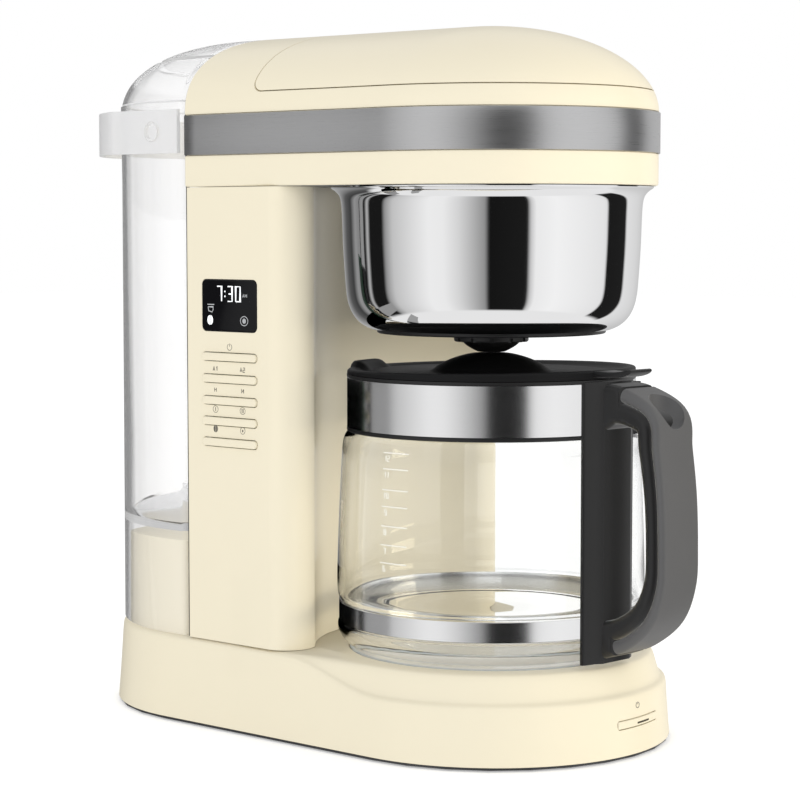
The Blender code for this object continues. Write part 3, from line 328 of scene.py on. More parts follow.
def thicken(obj, wall, offset=-1.0, even=True):
    """Give a skin its wall."""
    modifier = obj.modifiers.new("wall", 'SOLIDIFY')
    modifier.thickness = wall
    modifier.offset = offset
    modifier.use_even_offset = even
    return settle(obj)


def carve(obj, cutter, place=MACHINE, operation='DIFFERENCE'):
    """Cut an object with a bmesh, or keep what both share."""
    tool = to_object("cutter", cutter, place)
    modifier = obj.modifiers.new("cut", 'BOOLEAN')
    modifier.object = tool
    modifier.operation = operation
    modifier.solver = 'EXACT'
    settle(obj)
    mesh = tool.data
    bpy.data.objects.remove(tool)
    bpy.data.meshes.remove(mesh)
    return obj


def soften(obj, width, segments=3, angle=40.0):
    """Round the sharp edges."""
    modifier = obj.modifiers.new("rounding", 'BEVEL')
    modifier.width = width
    modifier.segments = segments
    modifier.limit_method = 'ANGLE'
    modifier.angle_limit = math.radians(angle)
    modifier.harden_normals = False
    return settle(obj)


SEE_THROUGH = ("glass", "clear_plastic", "frosted_plastic")
# Pieces that the chrome and the steel bands don't mirror, that cast no shadow, and that take no
# part in the light between matt surfaces
UNMIRRORED = ("tower_casing", "tank_pedestal", "tank_shell", "tank_crown", "tank_flap",
              "carrying_handle", "handle_core", "grip_skin", "lever_paddle")
UNSHADED = ("handle_core", "grip_skin")
UNLIT = ("neck_collar", "collar_steel_band", "lower_steel_band")


def finish_piece(obj, body, slot, finish, nodes=(), sharp=34.0):
    """Shade a piece, give it its finish, and set it on its body in place of CAD nodes."""
    obj.data.shade_smooth()
    obj.data.set_sharp_from_angle(angle=math.radians(sharp))
    obj.data.materials.clear()
    obj.data.materials.append(finish)
    solid = slot not in SEE_THROUGH
    obj.visible_glossy = obj.name not in UNMIRRORED
    obj.visible_shadow = solid and obj.name not in UNSHADED
    obj.visible_diffuse = solid and obj.name not in UNLIT
    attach(obj, body)
    if nodes:
        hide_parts(*nodes)
    return obj


def piece(name, bm, body, slot, finish, nodes=(), place=MACHINE):
    """Make a piece from a bmesh and finish it."""
    return finish_piece(to_object(name, bm, place), body, slot, finish, nodes)


# ---------------------------------------------------------------- plans shared by several pieces
TOWER_FRONT_X = -(TOWER_BAY_R + TOWER_CORNER_R) * math.cos(
    math.asin((TOWER_HALF - TOWER_CORNER_R) / (TOWER_BAY_R + TOWER_CORNER_R))) + TOWER_CORNER_R


def base_plan():
    """Spine points and outward directions round the base."""
    run = [REAR_AXIS_X * i / SIDE_STEPS for i in range(1, SIDE_STEPS)]
    spokes = [(0.0, math.cos(a), math.sin(a)) for a in HALF_TURN]
    spokes += [(x, 0.0, 1.0) for x in run]
    spokes += [(REAR_AXIS_X, math.cos(a + math.pi), math.sin(a + math.pi)) for a in HALF_TURN]
    return spokes + [(x, 0.0, -1.0) for x in reversed(run)]


def head_plan(x_rear):
    """Spine points, directions and how far back each lies, round the head."""
    run = [x_rear * i / SIDE_STEPS for i in range(1, SIDE_STEPS + 1)]
    spokes = [(0.0, math.cos(a), math.sin(a), 0.0) for a in HALF_TURN]
    spokes += [(x, 0.0, 1.0, x / x_rear) for x in run]
    return spokes + [(x, 0.0, -1.0, x / x_rear) for x in reversed(run)]


def dome_angle(z):
    """Where a height lies on the dome: 0 at its foot, a right angle at the crown."""
    return math.asin(min(1.0, max(0.0, (z - DOME_Z) / DOME_RISE)))


def dome_height(angle):
    """Height of the dome at an angle."""
    return DOME_Z + DOME_RISE * math.sin(angle)


def dome_ratio(z, back):
    """How much the dome has closed in at a height, from 1 to 0."""
    power = DOME_POWER[0] + (DOME_POWER[1] - DOME_POWER[0]) * back
    rise = min(1.0, max(0.0, (z - DOME_Z) / DOME_RISE))
    return (1 - rise ** power) ** (1 / power)


def head_ring(z, inset=0.0):
    """One level of the head and its dome."""
    ring = []
    for x, dx, dy, back in head_plan(SEAM_X + SEAM):
        full = HEAD_R + (HEAD_REAR_HALF - HEAD_R) * smoothstep(back)
        r = max(full * dome_ratio(z, back) - inset, 0.0002)
        ring.append((x + r * dx, r * dy, z))
    return ring


def dome_levels(low, steps=26, end=89.3):
    """Heights that follow the dome evenly, from a level up to the crown."""
    start, end = dome_angle(low), math.radians(end)
    return [dome_height(start + (end - start) * i / steps) for i in range(1, steps + 1)]


def tank_ring(z, inset=0.0, ratio=1.0):
    """One level of the tank: a round back and a flat front with small corners."""
    r = TANK_R * ratio - inset
    front = SEAM_X - SEAM - inset
    c = min(TANK_CORNER_R, r / 3)
    points = arc((REAR_AXIS_X, 0.0), r, 90, 270, ROUND_STEPS)
    points += arc((front - c, -r + c), c, 270, 360, 6)
    points += arc((front - c, r - c), c, 0, 90, 6)
    return [(x, y, z) for x, y in points]


def tank_dome_rings(low, high, steps=16):
    """Levels of the tank's dome, which carries on the head's curve."""
    start, end = dome_angle(low), dome_angle(high)
    levels = [dome_height(start + (end - start) * i / steps) for i in range(steps + 1)]
    return [tank_ring(z, ratio=dome_ratio(z, 1.0)) for z in levels]


def tower_outline(inset=0.0):
    """Plan of the tower: flat rear and sides, round front corners, hollow front."""
    bay = TOWER_BAY_R + inset
    corner = TOWER_CORNER_R - inset
    reach = bay + corner
    centre_y = TOWER_HALF - TOWER_CORNER_R
    centre_x = -math.sqrt(reach ** 2 - centre_y ** 2)
    touch = math.degrees(math.atan2(centre_y, -centre_x))
    rear = SEAM_X + SEAM + inset
    half = TOWER_HALF - inset
    points = [(rear, -half)]
    points += arc((centre_x, -centre_y), corner, -90, touch, 24)
    points += arc((0.0, 0.0), bay, 180 + touch, 180 - touch, 56)[1:-1]
    points += arc((centre_x, centre_y), corner, -touch, 90, 24)
    return points + [(rear, half)]


def lid_outline(shrink):
    """Side view of the space that the brew lid fills."""
    x, z = LID_X + shrink, LID_Z + shrink
    far, top = HEAD_R + 2 * MARGIN, CROWN_Z + MARGIN
    points = arc((x + LID_CORNER_R, z + LID_CORNER_R), LID_CORNER_R, 180, 270, 12)
    return points + [(far, z), (far, top), (x, top)]


# ---------------------------------------------------------------- shader helpers
def new_group(name, inputs, outputs):
    """An empty shader node group with its input and output nodes; Color is its one colour."""
    group = bpy.data.node_groups.new(name, 'ShaderNodeTree')

    def socket(label, side):
        kind = 'NodeSocketColor' if label == "Color" else 'NodeSocketFloat'
        return group.interface.new_socket(name=label, in_out=side, socket_type=kind)

    for label, value in inputs.items():
        socket(label, 'INPUT').default_value = value
    for label in outputs:
        socket(label, 'OUTPUT')
    return group, group.nodes.new('NodeGroupInput'), group.nodes.new('NodeGroupOutput')


def add(tree, kind, inputs=None, **settings):
    """Add a node with its settings, and the fixed values of its input sockets."""
    node = tree.nodes.new('ShaderNode' + kind)
    for key, value in settings.items():
        setattr(node, key, value)
    for key, value in (inputs or {}).items():
        node.inputs[key].default_value = value
    return node


def wire(tree, *links):
    """Join sockets: each link is a node, its output, the next node and its input."""
    for source, out, target, into in links:
        tree.links.new(source.outputs[out], target.inputs[into])


def surface_grain():
    """Moulded surface: slight clouding of colour and gloss, and the height of a fine texture."""
    group, given, out = new_group("surface_grain", {
        "Color": (0.8, 0.8, 0.8, 1.0), "Roughness": 0.3, "Clouding": 0.03, "Gloss Change": 0.05,
        "Texture Scale": 1800.0}, ("Color", "Roughness", "Height"))
    where = add(group, 'TexCoord')
    cloud = add(group, 'TexNoise', {"Scale": 28.0, "Detail": 4.0})
    fine = add(group, 'TexNoise', {"Detail": 3.0})
    wipes = add(group, 'TexNoise', {"Scale": 90.0, "Detail": 5.0, "Roughness": 0.7})
    lighter = add(group, 'MapRange', {"To Min": -1.0})
    scaled = add(group, 'Math', {2: 1.0}, operation='MULTIPLY_ADD')
    tinted = add(group, 'VectorMath', operation='SCALE')
    centred = add(group, 'Math', {1: 0.5}, operation='SUBTRACT')
    glossed = add(group, 'Math', operation='MULTIPLY_ADD')
    wire(group, (where, "Object", cloud, "Vector"), (where, "Object", fine, "Vector"),
         (where, "Object", wipes, "Vector"), (given, "Texture Scale", fine, "Scale"),
         (cloud, "Fac", lighter, "Value"), (lighter, "Result", scaled, 0),
         (given, "Clouding", scaled, 1), (given, "Color", tinted, 0),
         (scaled, 0, tinted, "Scale"), (tinted, 0, out, "Color"),
         (wipes, "Fac", centred, 0), (centred, 0, glossed, 0),
         (given, "Gloss Change", glossed, 1), (given, "Roughness", glossed, 2),
         (glossed, 0, out, "Roughness"), (fine, "Fac", out, "Height"))
    return group


def brush_marks():
    """Brushed metal: fine lines that run round the piece, level with the floor."""
    group, given, out = new_group("brush_marks", {
        "Color": (0.6, 0.6, 0.6, 1.0), "Roughness": 0.3, "Line Density": 5200.0,
        "Contrast": 0.10}, ("Color", "Roughness", "Height"))
    where = add(group, 'TexCoord')
    split = add(group, 'SeparateXYZ')
    join = add(group, 'CombineXYZ')
    across = add(group, 'Math', operation='MULTIPLY')
    lines = add(group, 'TexNoise', {"Scale": 1.0, "Detail": 3.0, "Roughness": 0.6})
    centred = add(group, 'Math', {1: 0.5}, operation='SUBTRACT')
    shade = add(group, 'Math', {2: 1.0}, operation='MULTIPLY_ADD')
    tinted = add(group, 'VectorMath', operation='SCALE')
    rough = add(group, 'Math', operation='MULTIPLY_ADD')
    for side in ("X", "Y"):
        along = add(group, 'Math', {1: 55.0}, operation='MULTIPLY')
        wire(group, (split, side, along, 0), (along, 0, join, side))
    wire(group, (where, "Object", split, 0), (split, "Z", across, 0),
         (given, "Line Density", across, 1), (across, 0, join, "Z"),
         (join, 0, lines, "Vector"), (lines, "Fac", centred, 0), (centred, 0, shade, 0),
         (given, "Contrast", shade, 1), (given, "Color", tinted, 0),
         (shade, 0, tinted, "Scale"), (tinted, 0, out, "Color"), (centred, 0, rough, 0),
         (given, "Contrast", rough, 1), (given, "Roughness", rough, 2),
         (rough, 0, out, "Roughness"), (lines, "Fac", out, "Height"))
    return group


def polish_swirls():
    """Polished surfaces: a clean base with faint wiping marks in the gloss."""
    group, given, out = new_group("polish_swirls", {
        "Roughness": 0.05, "Marks": 0.03, "Mark Scale": 60.0}, ("Roughness", "Height"))
    where = add(group, 'TexCoord')
    marks = add(group, 'TexNoise', {"Detail": 6.0, "Roughness": 0.65, "Distortion": 1.2})
    shaped = add(group, 'MapRange', {"From Min": 0.48, "From Max": 0.75})
    rough = add(group, 'Math', operation='MULTIPLY_ADD')
    wire(group, (where, "Object", marks, "Vector"), (given, "Mark Scale", marks, "Scale"),
         (marks, "Fac", shaped, "Value"), (shaped, "Result", rough, 0),
         (given, "Marks", rough, 1), (given, "Roughness", rough, 2),
         (rough, 0, out, "Roughness"), (marks, "Fac", out, "Height"))
    return group


SURFACE_GRAIN = surface_grain()
BRUSH_MARKS = brush_marks()
POLISH_SWIRLS = polish_swirls()


def give(node, values):
    """Set a node's input sockets; an underscore in a name stands for a space."""
    for key, value in values.items():
        value = (*value, 1.0) if isinstance(value, tuple) else value
        node.inputs[key.replace("_", " ")].default_value = value


def new_material(name, **sockets):
    """A Principled material with constant values set on its own sockets."""
    material = bpy.data.materials.new(name)
    material.use_nodes = True
    shader = material.node_tree.nodes["Principled BSDF"]
    give(shader, sockets)
    return material, material.node_tree, shader


def place_group(tree, shader, group, outputs, **values):
    """Put a node group in a material with its own values, and lead its outputs to the shader."""
    node = add(tree, 'Group', node_tree=group)
    give(node, values)
    for source, target in outputs:
        wire(tree, (node, source, shader, target))
    return node


def relief(tree, shader, source, strength, distance):
    """Feed a group's height to the shader's normal."""
    bump = add(tree, 'Bump', {"Strength": strength, "Distance": distance})
    wire(tree, (source, "Height", bump, "Height"), (bump, "Normal", shader, "Normal"))


GRAINED = (("Color", "Base Color"), ("Roughness", "Roughness"))


def plastic(name, colour, roughness, clouding=0.02, gloss_change=0.05, texture_scale=1500.0,
            texture=0.02, **sockets):
    """Moulded plastic, rubber or silicone with its own clouding and surface texture."""
    material, tree, shader = new_material(name, **sockets)
    grain = place_group(tree, shader, SURFACE_GRAIN, GRAINED, Color=colour, Roughness=roughness,
                        Clouding=clouding, Gloss_Change=gloss_change,
                        Texture_Scale=texture_scale)
    relief(tree, shader, grain, texture, 0.0004)
    return material


def brushed(name, colour, roughness, contrast, density, texture, **sockets):
    """Brushed metal."""
    material, tree, shader = new_material(name, Metallic=1.0, **sockets)
    marks = place_group(tree, shader, BRUSH_MARKS, GRAINED, Color=colour, Roughness=roughness,
                        Contrast=contrast, Line_Density=density)
    relief(tree, shader, marks, texture, 0.0002)
    return material


def polished(name, roughness, marks, mark_scale, texture=0.0, **sockets):
    """Polished metal, glass and clear plastic."""
    material, tree, shader = new_material(name, **sockets)
    swirls = place_group(tree, shader, POLISH_SWIRLS, GRAINED[1:], Roughness=roughness,
                         Marks=marks, Mark_Scale=mark_scale)
    if texture:
        relief(tree, shader, swirls, texture, 0.0005)
    return material


CREAM = plastic("cream_gloss_plastic", (0.815, 0.752, 0.588), 0.30, 0.012, 0.04, 900.0, 0.010,
                IOR=1.50, Specular_IOR_Level=0.22)
DARK = plastic("dark_moulded_plastic", (0.030, 0.030, 0.032), 0.42, 0.10, 0.10, 2200.0, 0.08)
BLACK = plastic("black_satin_plastic", (0.013, 0.013, 0.0135), 0.36, 0.06, 0.08, 1800.0, 0.03,
                Specular_IOR_Level=0.34)
GRIP = plastic("charcoal_soft_grip", (0.090, 0.090, 0.092), 0.48, 0.05, 0.06, 2600.0, 0.05)
RUBBER = plastic("black_rubber", (0.022, 0.022, 0.022), 0.80, 0.20, 0.15, 1400.0, 0.20)
SILICONE = plastic("pale_silicone", (0.62, 0.62, 0.60), 0.50, 0.04, 0.10, 900.0, 0.05,
                   Subsurface_Weight=0.15)
ENAMEL = plastic("pale_enamel", (0.80, 0.78, 0.71), 0.20, 0.05, 0.10, 700.0, 0.05,
                 Coat_Weight=0.6)
LID_BLACK = plastic("black_lid_plastic", (0.008, 0.008, 0.0085), 0.50, 0.06, 0.08, 1800.0, 0.03,
                    Specular_IOR_Level=0.12)
BOARD = plastic("circuit_board_green", (0.020, 0.120, 0.055), 0.45, 0.20, 0.10, 500.0, 0.05)
WINDOW = plastic("brown_window", (0.055, 0.045, 0.025), 0.40, 0.06, 0.08, 1500.0, 0.02)
INK = plastic("dark_print", (0.13, 0.12, 0.10), 0.50, 0.10, 0.10, 2500.0, 0.02)
WHITE_INK = plastic("white_print", (0.84, 0.82, 0.74), 0.45, 0.06, 0.10, 2500.0, 0.02)
GLOW = plastic("display_white", (0.80, 0.82, 0.84), 0.40, 0.04, 0.05, 1500.0, 0.01,
               Emission_Color=(0.85, 0.88, 0.90), Emission_Strength=0.55)
DIM_GLOW = plastic("display_grey", (0.36, 0.37, 0.38), 0.40, 0.04, 0.05, 1500.0, 0.01,
                   Emission_Color=(0.40, 0.41, 0.42), Emission_Strength=0.35)
BRUSHED = brushed("brushed_strap_steel", (0.58, 0.58, 0.585), 0.30, 0.16, 5200.0, 0.06,
                  Anisotropic=0.35)
BAND_STEEL = brushed("satin_band_steel", (0.86, 0.86, 0.865), 0.17, 0.07, 6400.0, 0.02,
                     Anisotropic=0.3)
STEEL = brushed("plain_steel", (0.60, 0.60, 0.60), 0.32, 0.12, 2600.0, 0.06)
CHROME = polished("bowl_chrome", 0.035, 0.03, 45.0, Base_Color=(0.90, 0.90, 0.905), Metallic=1.0)
GLASS = polished("jug_glass", 0.0, 0.02, 40.0, Base_Color=(0.985, 0.99, 0.988),
                 Transmission_Weight=1.0, IOR=1.47)
CLEAR = polished("tank_clear_plastic", 0.03, 0.05, 30.0, 0.01, Base_Color=(0.985, 0.985, 0.99),
                 Transmission_Weight=0.93, IOR=1.30)
FROSTED = polished("frosted_handle_plastic", 0.30, 0.06, 80.0,
                   Base_Color=(0.80, 0.80, 0.805), Transmission_Weight=0.45, IOR=1.20)
LENS = polished("display_glass", 0.07, 0.06, 50.0, Base_Color=(0.006, 0.006, 0.007), IOR=1.25,
                Coat_Weight=0.06)

FINISHES = {
    "cream_plastic": CREAM, "dark_plastic": DARK, "black_plastic": BLACK, "grip_plastic": GRIP,
    "rubber": RUBBER, "steel": STEEL, "enamel": ENAMEL, "silicone": SILICONE,
    "display_glass": LENS, "circuit_board": BOARD, "brushed_steel": BRUSHED, "chrome": CHROME,
    "clear_plastic": CLEAR, "frosted_plastic": FROSTED, "glass": GLASS,
}


def finish_nodes():
    """Give every CAD node the finish of its material slot."""
    for part in frame["record"]["subparts"]:
        node = frame["nodes"][part["node"]]
        for slot in node.material_slots:
            slot.material = FINISHES[part["material_slot"]]


# ---------------------------------------------------------------- the base
def make_base():
    """Base casing with its falling shoulder, and the hotplate in its deck."""
    levels = [
        (BASE_R - 0.0003, SHELL_Z, BASE_R - 0.0003, SHELL_Z),
        (BASE_TOP_R + 0.0002, 0.0200, BASE_TOP_R + 0.0002, 0.0200),
        (0.0869, DECK_Z - 0.0035, BASE_TOP_R - 0.0002, SHOULDER_Z - 0.0018),
        (0.0864, DECK_Z - 0.0018, BASE_TOP_R - 0.0014, SHOULDER_Z - 0.0004),
        (0.0856, DECK_Z - 0.0011, PLATEAU_R + 0.0012, SHOULDER_Z + 0.0006),
        (0.0848, DECK_Z - 0.0007, PLATEAU_R + 0.0002, SHOULDER_Z + 0.0030),
        (0.0832, DECK_Z - 0.0002, PLATEAU_R - 0.0024, DECK_Z - 0.0010),
        (PLATEAU_R - 0.0052, DECK_Z, PLATEAU_R - 0.0052, DECK_Z)]
    columns = []
    for x, dx, dy in base_plan():
        share = smoothstep((x - TOWER_FRONT_X) / (0.0 - TOWER_FRONT_X))
        line = eased([(a + (c - a) * share, b + (d - b) * share) for a, b, c, d in levels])
        columns.append([(x + r * dx, r * dy, z) for r, z in line])
    rings = [list(ring) for ring in zip(*columns)]
    casing = thicken(to_object("base_casing", skin(rings, cap_low=False)), WALL)
    low = (-START_WIDTH / 2 - PANEL_GAP, START_Z[0] - PANEL_GAP)
    high = (START_WIDTH / 2 + PANEL_GAP, START_Z[1] + PANEL_GAP)
    carve(casing, plug(HOTPLATE_HOLE_R, DECK_Z - 2 * MARGIN, DECK_Z + MARGIN, 128))
    slot = prism(rounded_rect(low, high, START_CORNER_R), BASE_R - 2 * MARGIN, BASE_R + MARGIN,
                 'X')
    carve(casing, slot, MACHINE @ Matrix.Rotation(START_TURN, 4, 'Z'))
    finish_piece(casing, "housing", "cream_plastic", CREAM, ["base_shell"])

    top = HOTPLATE_TOP
    rim = eased([(HOTPLATE_R * 0.80, top - 0.0004), (HOTPLATE_R * 0.86, top),
                 (HOTPLATE_R - 0.001, top), (HOTPLATE_R, top - 0.0010)])
    plate = turned([(0.0, top - 0.0004)] + rim + [
        (HOTPLATE_R, top - 0.0060), (HOTPLATE_R - 0.0015, top - 0.0060),
        (HOTPLATE_R - 0.0015, top - 0.0020), (0.0, top - 0.0020)], closed=False)
    piece("warming_plate", plate, "housing", "enamel", ENAMEL, ["hotplate"])


def nose_surface(azimuth, z, proud):
    """A point on the base's nose, by azimuth in radians and height."""
    slope = 0.09 if z < 0.020 else 0.04
    r = BASE_TOP_R + 0.0002 + (0.020 - z) * slope + proud
    return (r * math.cos(azimuth), r * math.sin(azimuth), z)


def make_start_button():
    """Start button on the nose: a curved bar with soft edges and a dark window."""
    turn = math.degrees(START_TURN)
    half = math.degrees(START_WIDTH / 2 / BASE_TOP_R)
    outer, inner = BASE_TOP_R + 0.0009, BASE_TOP_R - 0.0040
    plan = arc((0.0, 0.0), outer, turn - half, turn + half, 40)
    plan += arc((0.0, 0.0), inner, turn + half, turn - half, 40)
    button = to_object("start_bar", prism(plan, START_Z[0], START_Z[1]))
    soften(button, 0.0006, 4)
    finish_piece(button, "start_button", "cream_plastic", CREAM, ["start_button"])

    def on_bar(u, v, proud):
        a = u / outer
        return ((outer + proud) * math.cos(a), (outer + proud) * math.sin(a), v)

    low, high = math.radians(1.8) * outer, math.radians(8.6) * outer
    window = ribbon(bmesh.new(), [(low + (high - low) * i / 10, 0.0166) for i in range(11)],
                    0.0009, on_bar)
    piece("start_window", window, "start_button", "dark_plastic", WINDOW)


# ---------------------------------------------------------------- the tower and its panel
def make_tower():
    """Tower casing with its display window and button slots."""
    outline = tower_outline()
    levels = (DECK_Z + GAP, HEAD_Z - GAP)
    casing = to_object("tower_casing", skin([[(x, y, z) for x, y in outline] for z in levels],
                                            cap_low=False, cap_high=False))
    thicken(casing, WALL)
    x0, x1 = PANEL_X
    face = -TOWER_HALF
    slots = prism(rounded_rect((x0 - PANEL_GAP, DISPLAY_Z[0] - PANEL_GAP),
                               (x1 + PANEL_GAP, DISPLAY_Z[1] + PANEL_GAP),
                               PANEL_CORNER_R + PANEL_GAP), face - MARGIN, face + MARGIN, 'Y')
    for z in BAR_Z:
        reach = BAR_HEIGHT / 2 + PANEL_GAP
        prism(rounded_rect((x0 - PANEL_GAP, z - reach), (x1 + PANEL_GAP, z + reach),
                           reach - 0.0001), face - MARGIN, face + MARGIN, 'Y', slots)
    carve(casing, slots)
    finish_piece(casing, "housing", "cream_plastic", CREAM, ["tower_shell"])

    lens = to_object("display_window", prism(
        rounded_rect((x0, DISPLAY_Z[0]), (x1, DISPLAY_Z[1]), PANEL_CORNER_R, 8),
        face - LENS_PROUD, face + 0.0017, 'Y'))
    soften(lens, 0.0003, 2)
    finish_piece(lens, "housing", "display_glass", LENS, ["display_lens"])
    for i, z in enumerate(BAR_Z):
        node = "power_bar" if i == 0 else f"selector_bar_{i}"
        bar = rounded_rect((x0, z - BAR_HEIGHT / 2), (x1, z + BAR_HEIGHT / 2),
                           BAR_HEIGHT / 2 - 0.0001, 8)
        bar = to_object(node + "_cap", prism(bar, face - BAR_PROUD, face + 0.0030, 'Y'))
        soften(bar, 0.0007, 4)
        finish_piece(bar, node, "cream_plastic", CREAM, [node])


PRINT_DEPTH = 0.00005   # how far prints stand out; they reach in twice as far


def panel_surface(u, v, proud):
    """A point on the panel's side of the tower."""
    return (u, -TOWER_HALF - proud, v)


def lens_surface(u, v, proud):
    """A point on the display window."""
    return (u, -TOWER_HALF - LENS_PROUD - proud, v)


def jug_surface(u, v, proud):
    """A point on the glass of the jug, by arc length round it and height."""
    r = jug_radius(v) + proud
    return (r * math.cos(u / JUG_R), r * math.sin(u / JUG_R), v)


def nose_print(u, v, proud):
    """A point on the nose, by arc length and height."""
    return nose_surface(u / BASE_TOP_R, v, proud)


def ribbon(bm, points, width, surface, closed=False):
    """A printed stroke of even width along a flat line, laid on a surface."""
    count = len(points)
    sides = ([], [])
    for i, (u, v) in enumerate(points):
        before = points[i - 1] if (i or closed) else points[i]
        after = points[(i + 1) % count] if (i < count - 1 or closed) else points[i]
        run = Vector((after[0] - before[0], after[1] - before[1]))
        run.normalize()
        into = Vector((u - before[0], v - before[1]))
        scale = 1.0
        if into.length > 1e-9 and (after[0] - u or after[1] - v):
            scale = 1 / max(0.5, into.normalized().dot(run))
        reach = width / 2 * scale
        sides[0].append((u - run.y * reach, v + run.x * reach))
        sides[1].append((u + run.y * reach, v - run.x * reach))
    rows = [[surface(u, v, proud) for u, v in sides[side]] for side, proud in (
        (0, PRINT_DEPTH), (1, PRINT_DEPTH), (1, -PRINT_DEPTH * 2), (0, -PRINT_DEPTH * 2))]
    return tube(bm, rows, closed)


def patch(bm, outline, surface):
    """A printed filled shape."""
    rows = [[bm.verts.new(surface(u, v, proud)) for u, v in outline]
            for proud in (-PRINT_DEPTH * 2, PRINT_DEPTH)]
    count = len(outline)
    made = [bm.faces.new(list(reversed(rows[0]))), bm.faces.new(rows[1])]
    for i in range(count):
        j = (i + 1) % count
        made.append(bm.faces.new((rows[0][i], rows[0][j], rows[1][j], rows[1][i])))
    bmesh.ops.recalc_face_normals(bm, faces=made)
    return bm


def ellipse(u, v, half_u, half_v, steps=28, start=0, end=360):
    """Points round an ellipse."""
    return [(u + half_u * math.cos(math.radians(start + (end - start) * i / steps)),
             v + half_v * math.sin(math.radians(start + (end - start) * i / steps)))
            for i in range(steps + (0 if end - start == 360 else 1))]


# Strokes of the plain characters, in a box one wide and two high
STROKES = {
    "0": [[(0, 0), (1, 0), (1, 2), (0, 2), (0, 0)]],
    "1": [[(0.2, 1.6), (0.6, 2), (0.6, 0)]],
    "2": [[(0, 2), (1, 2), (1, 1), (0, 1), (0, 0), (1, 0)]],
    "3": [[(0, 2), (1, 2), (1, 0), (0, 0)], [(0.2, 1), (1, 1)]],
    "4": [[(0, 2), (0, 1), (1, 1)], [(1, 2), (1, 0)]],
    "5": [[(1, 2), (0, 2), (0, 1), (1, 1), (1, 0), (0, 0)]],
    "6": [[(1, 2), (0, 2), (0, 0), (1, 0), (1, 1), (0, 1)]],
    "7": [[(0, 2), (1, 2), (1, 0)]],
    "8": [[(0, 0), (1, 0), (1, 2), (0, 2), (0, 0)], [(0, 1), (1, 1)]],
    "9": [[(0, 0), (1, 0), (1, 2), (0, 2), (0, 1), (1, 1)]],
    "A": [[(0, 0), (0.5, 2), (1, 0)], [(0.2, 0.7), (0.8, 0.7)]],
    "H": [[(0, 0), (0, 2)], [(1, 0), (1, 2)], [(0, 1), (1, 1)]],
    "M": [[(0, 0), (0, 2), (0.55, 0.7), (1.1, 2), (1.1, 0)]],
}


def write(bm, text, centre, height, width, stroke, surface, flip=1):
    """Print characters centred on a place."""
    pitch = width * 1.55
    start = centre[0] - flip * (pitch * (len(text) - 1) + width) / 2
    for k, sign in enumerate(text):
        for line in STROKES[sign]:
            points = [(start + flip * (k * pitch + a * width),
                       centre[1] + (b / 2 - 0.5) * height) for a, b in line]
            ribbon(bm, points, stroke, surface)


def bean(bm, u, v, half_u, half_v, stroke, surface, filled):
    """A coffee bean mark: two halves with a slit, or an outline round a small one."""
    if not filled:
        ribbon(bm, ellipse(u, v, half_u, half_v), stroke, surface, closed=True)
        half_u, half_v = half_u * 0.40, half_v * 0.55
    for side in (-1, 1):
        shape = ellipse(u + side * stroke * 0.30, v, half_u, half_v, 14,
                        90 if side < 0 else -90, 270 if side < 0 else 90)
        patch(bm, shape, surface)


def power_mark(bm, u, v, radius, stroke, surface):
    """A broken ring with an upright stroke."""
    ribbon(bm, ellipse(u, v, radius, radius, 26, 118, 422), stroke, surface)
    ribbon(bm, [(u, v + radius * 0.15), (u, v + radius * 1.1)], stroke, surface)


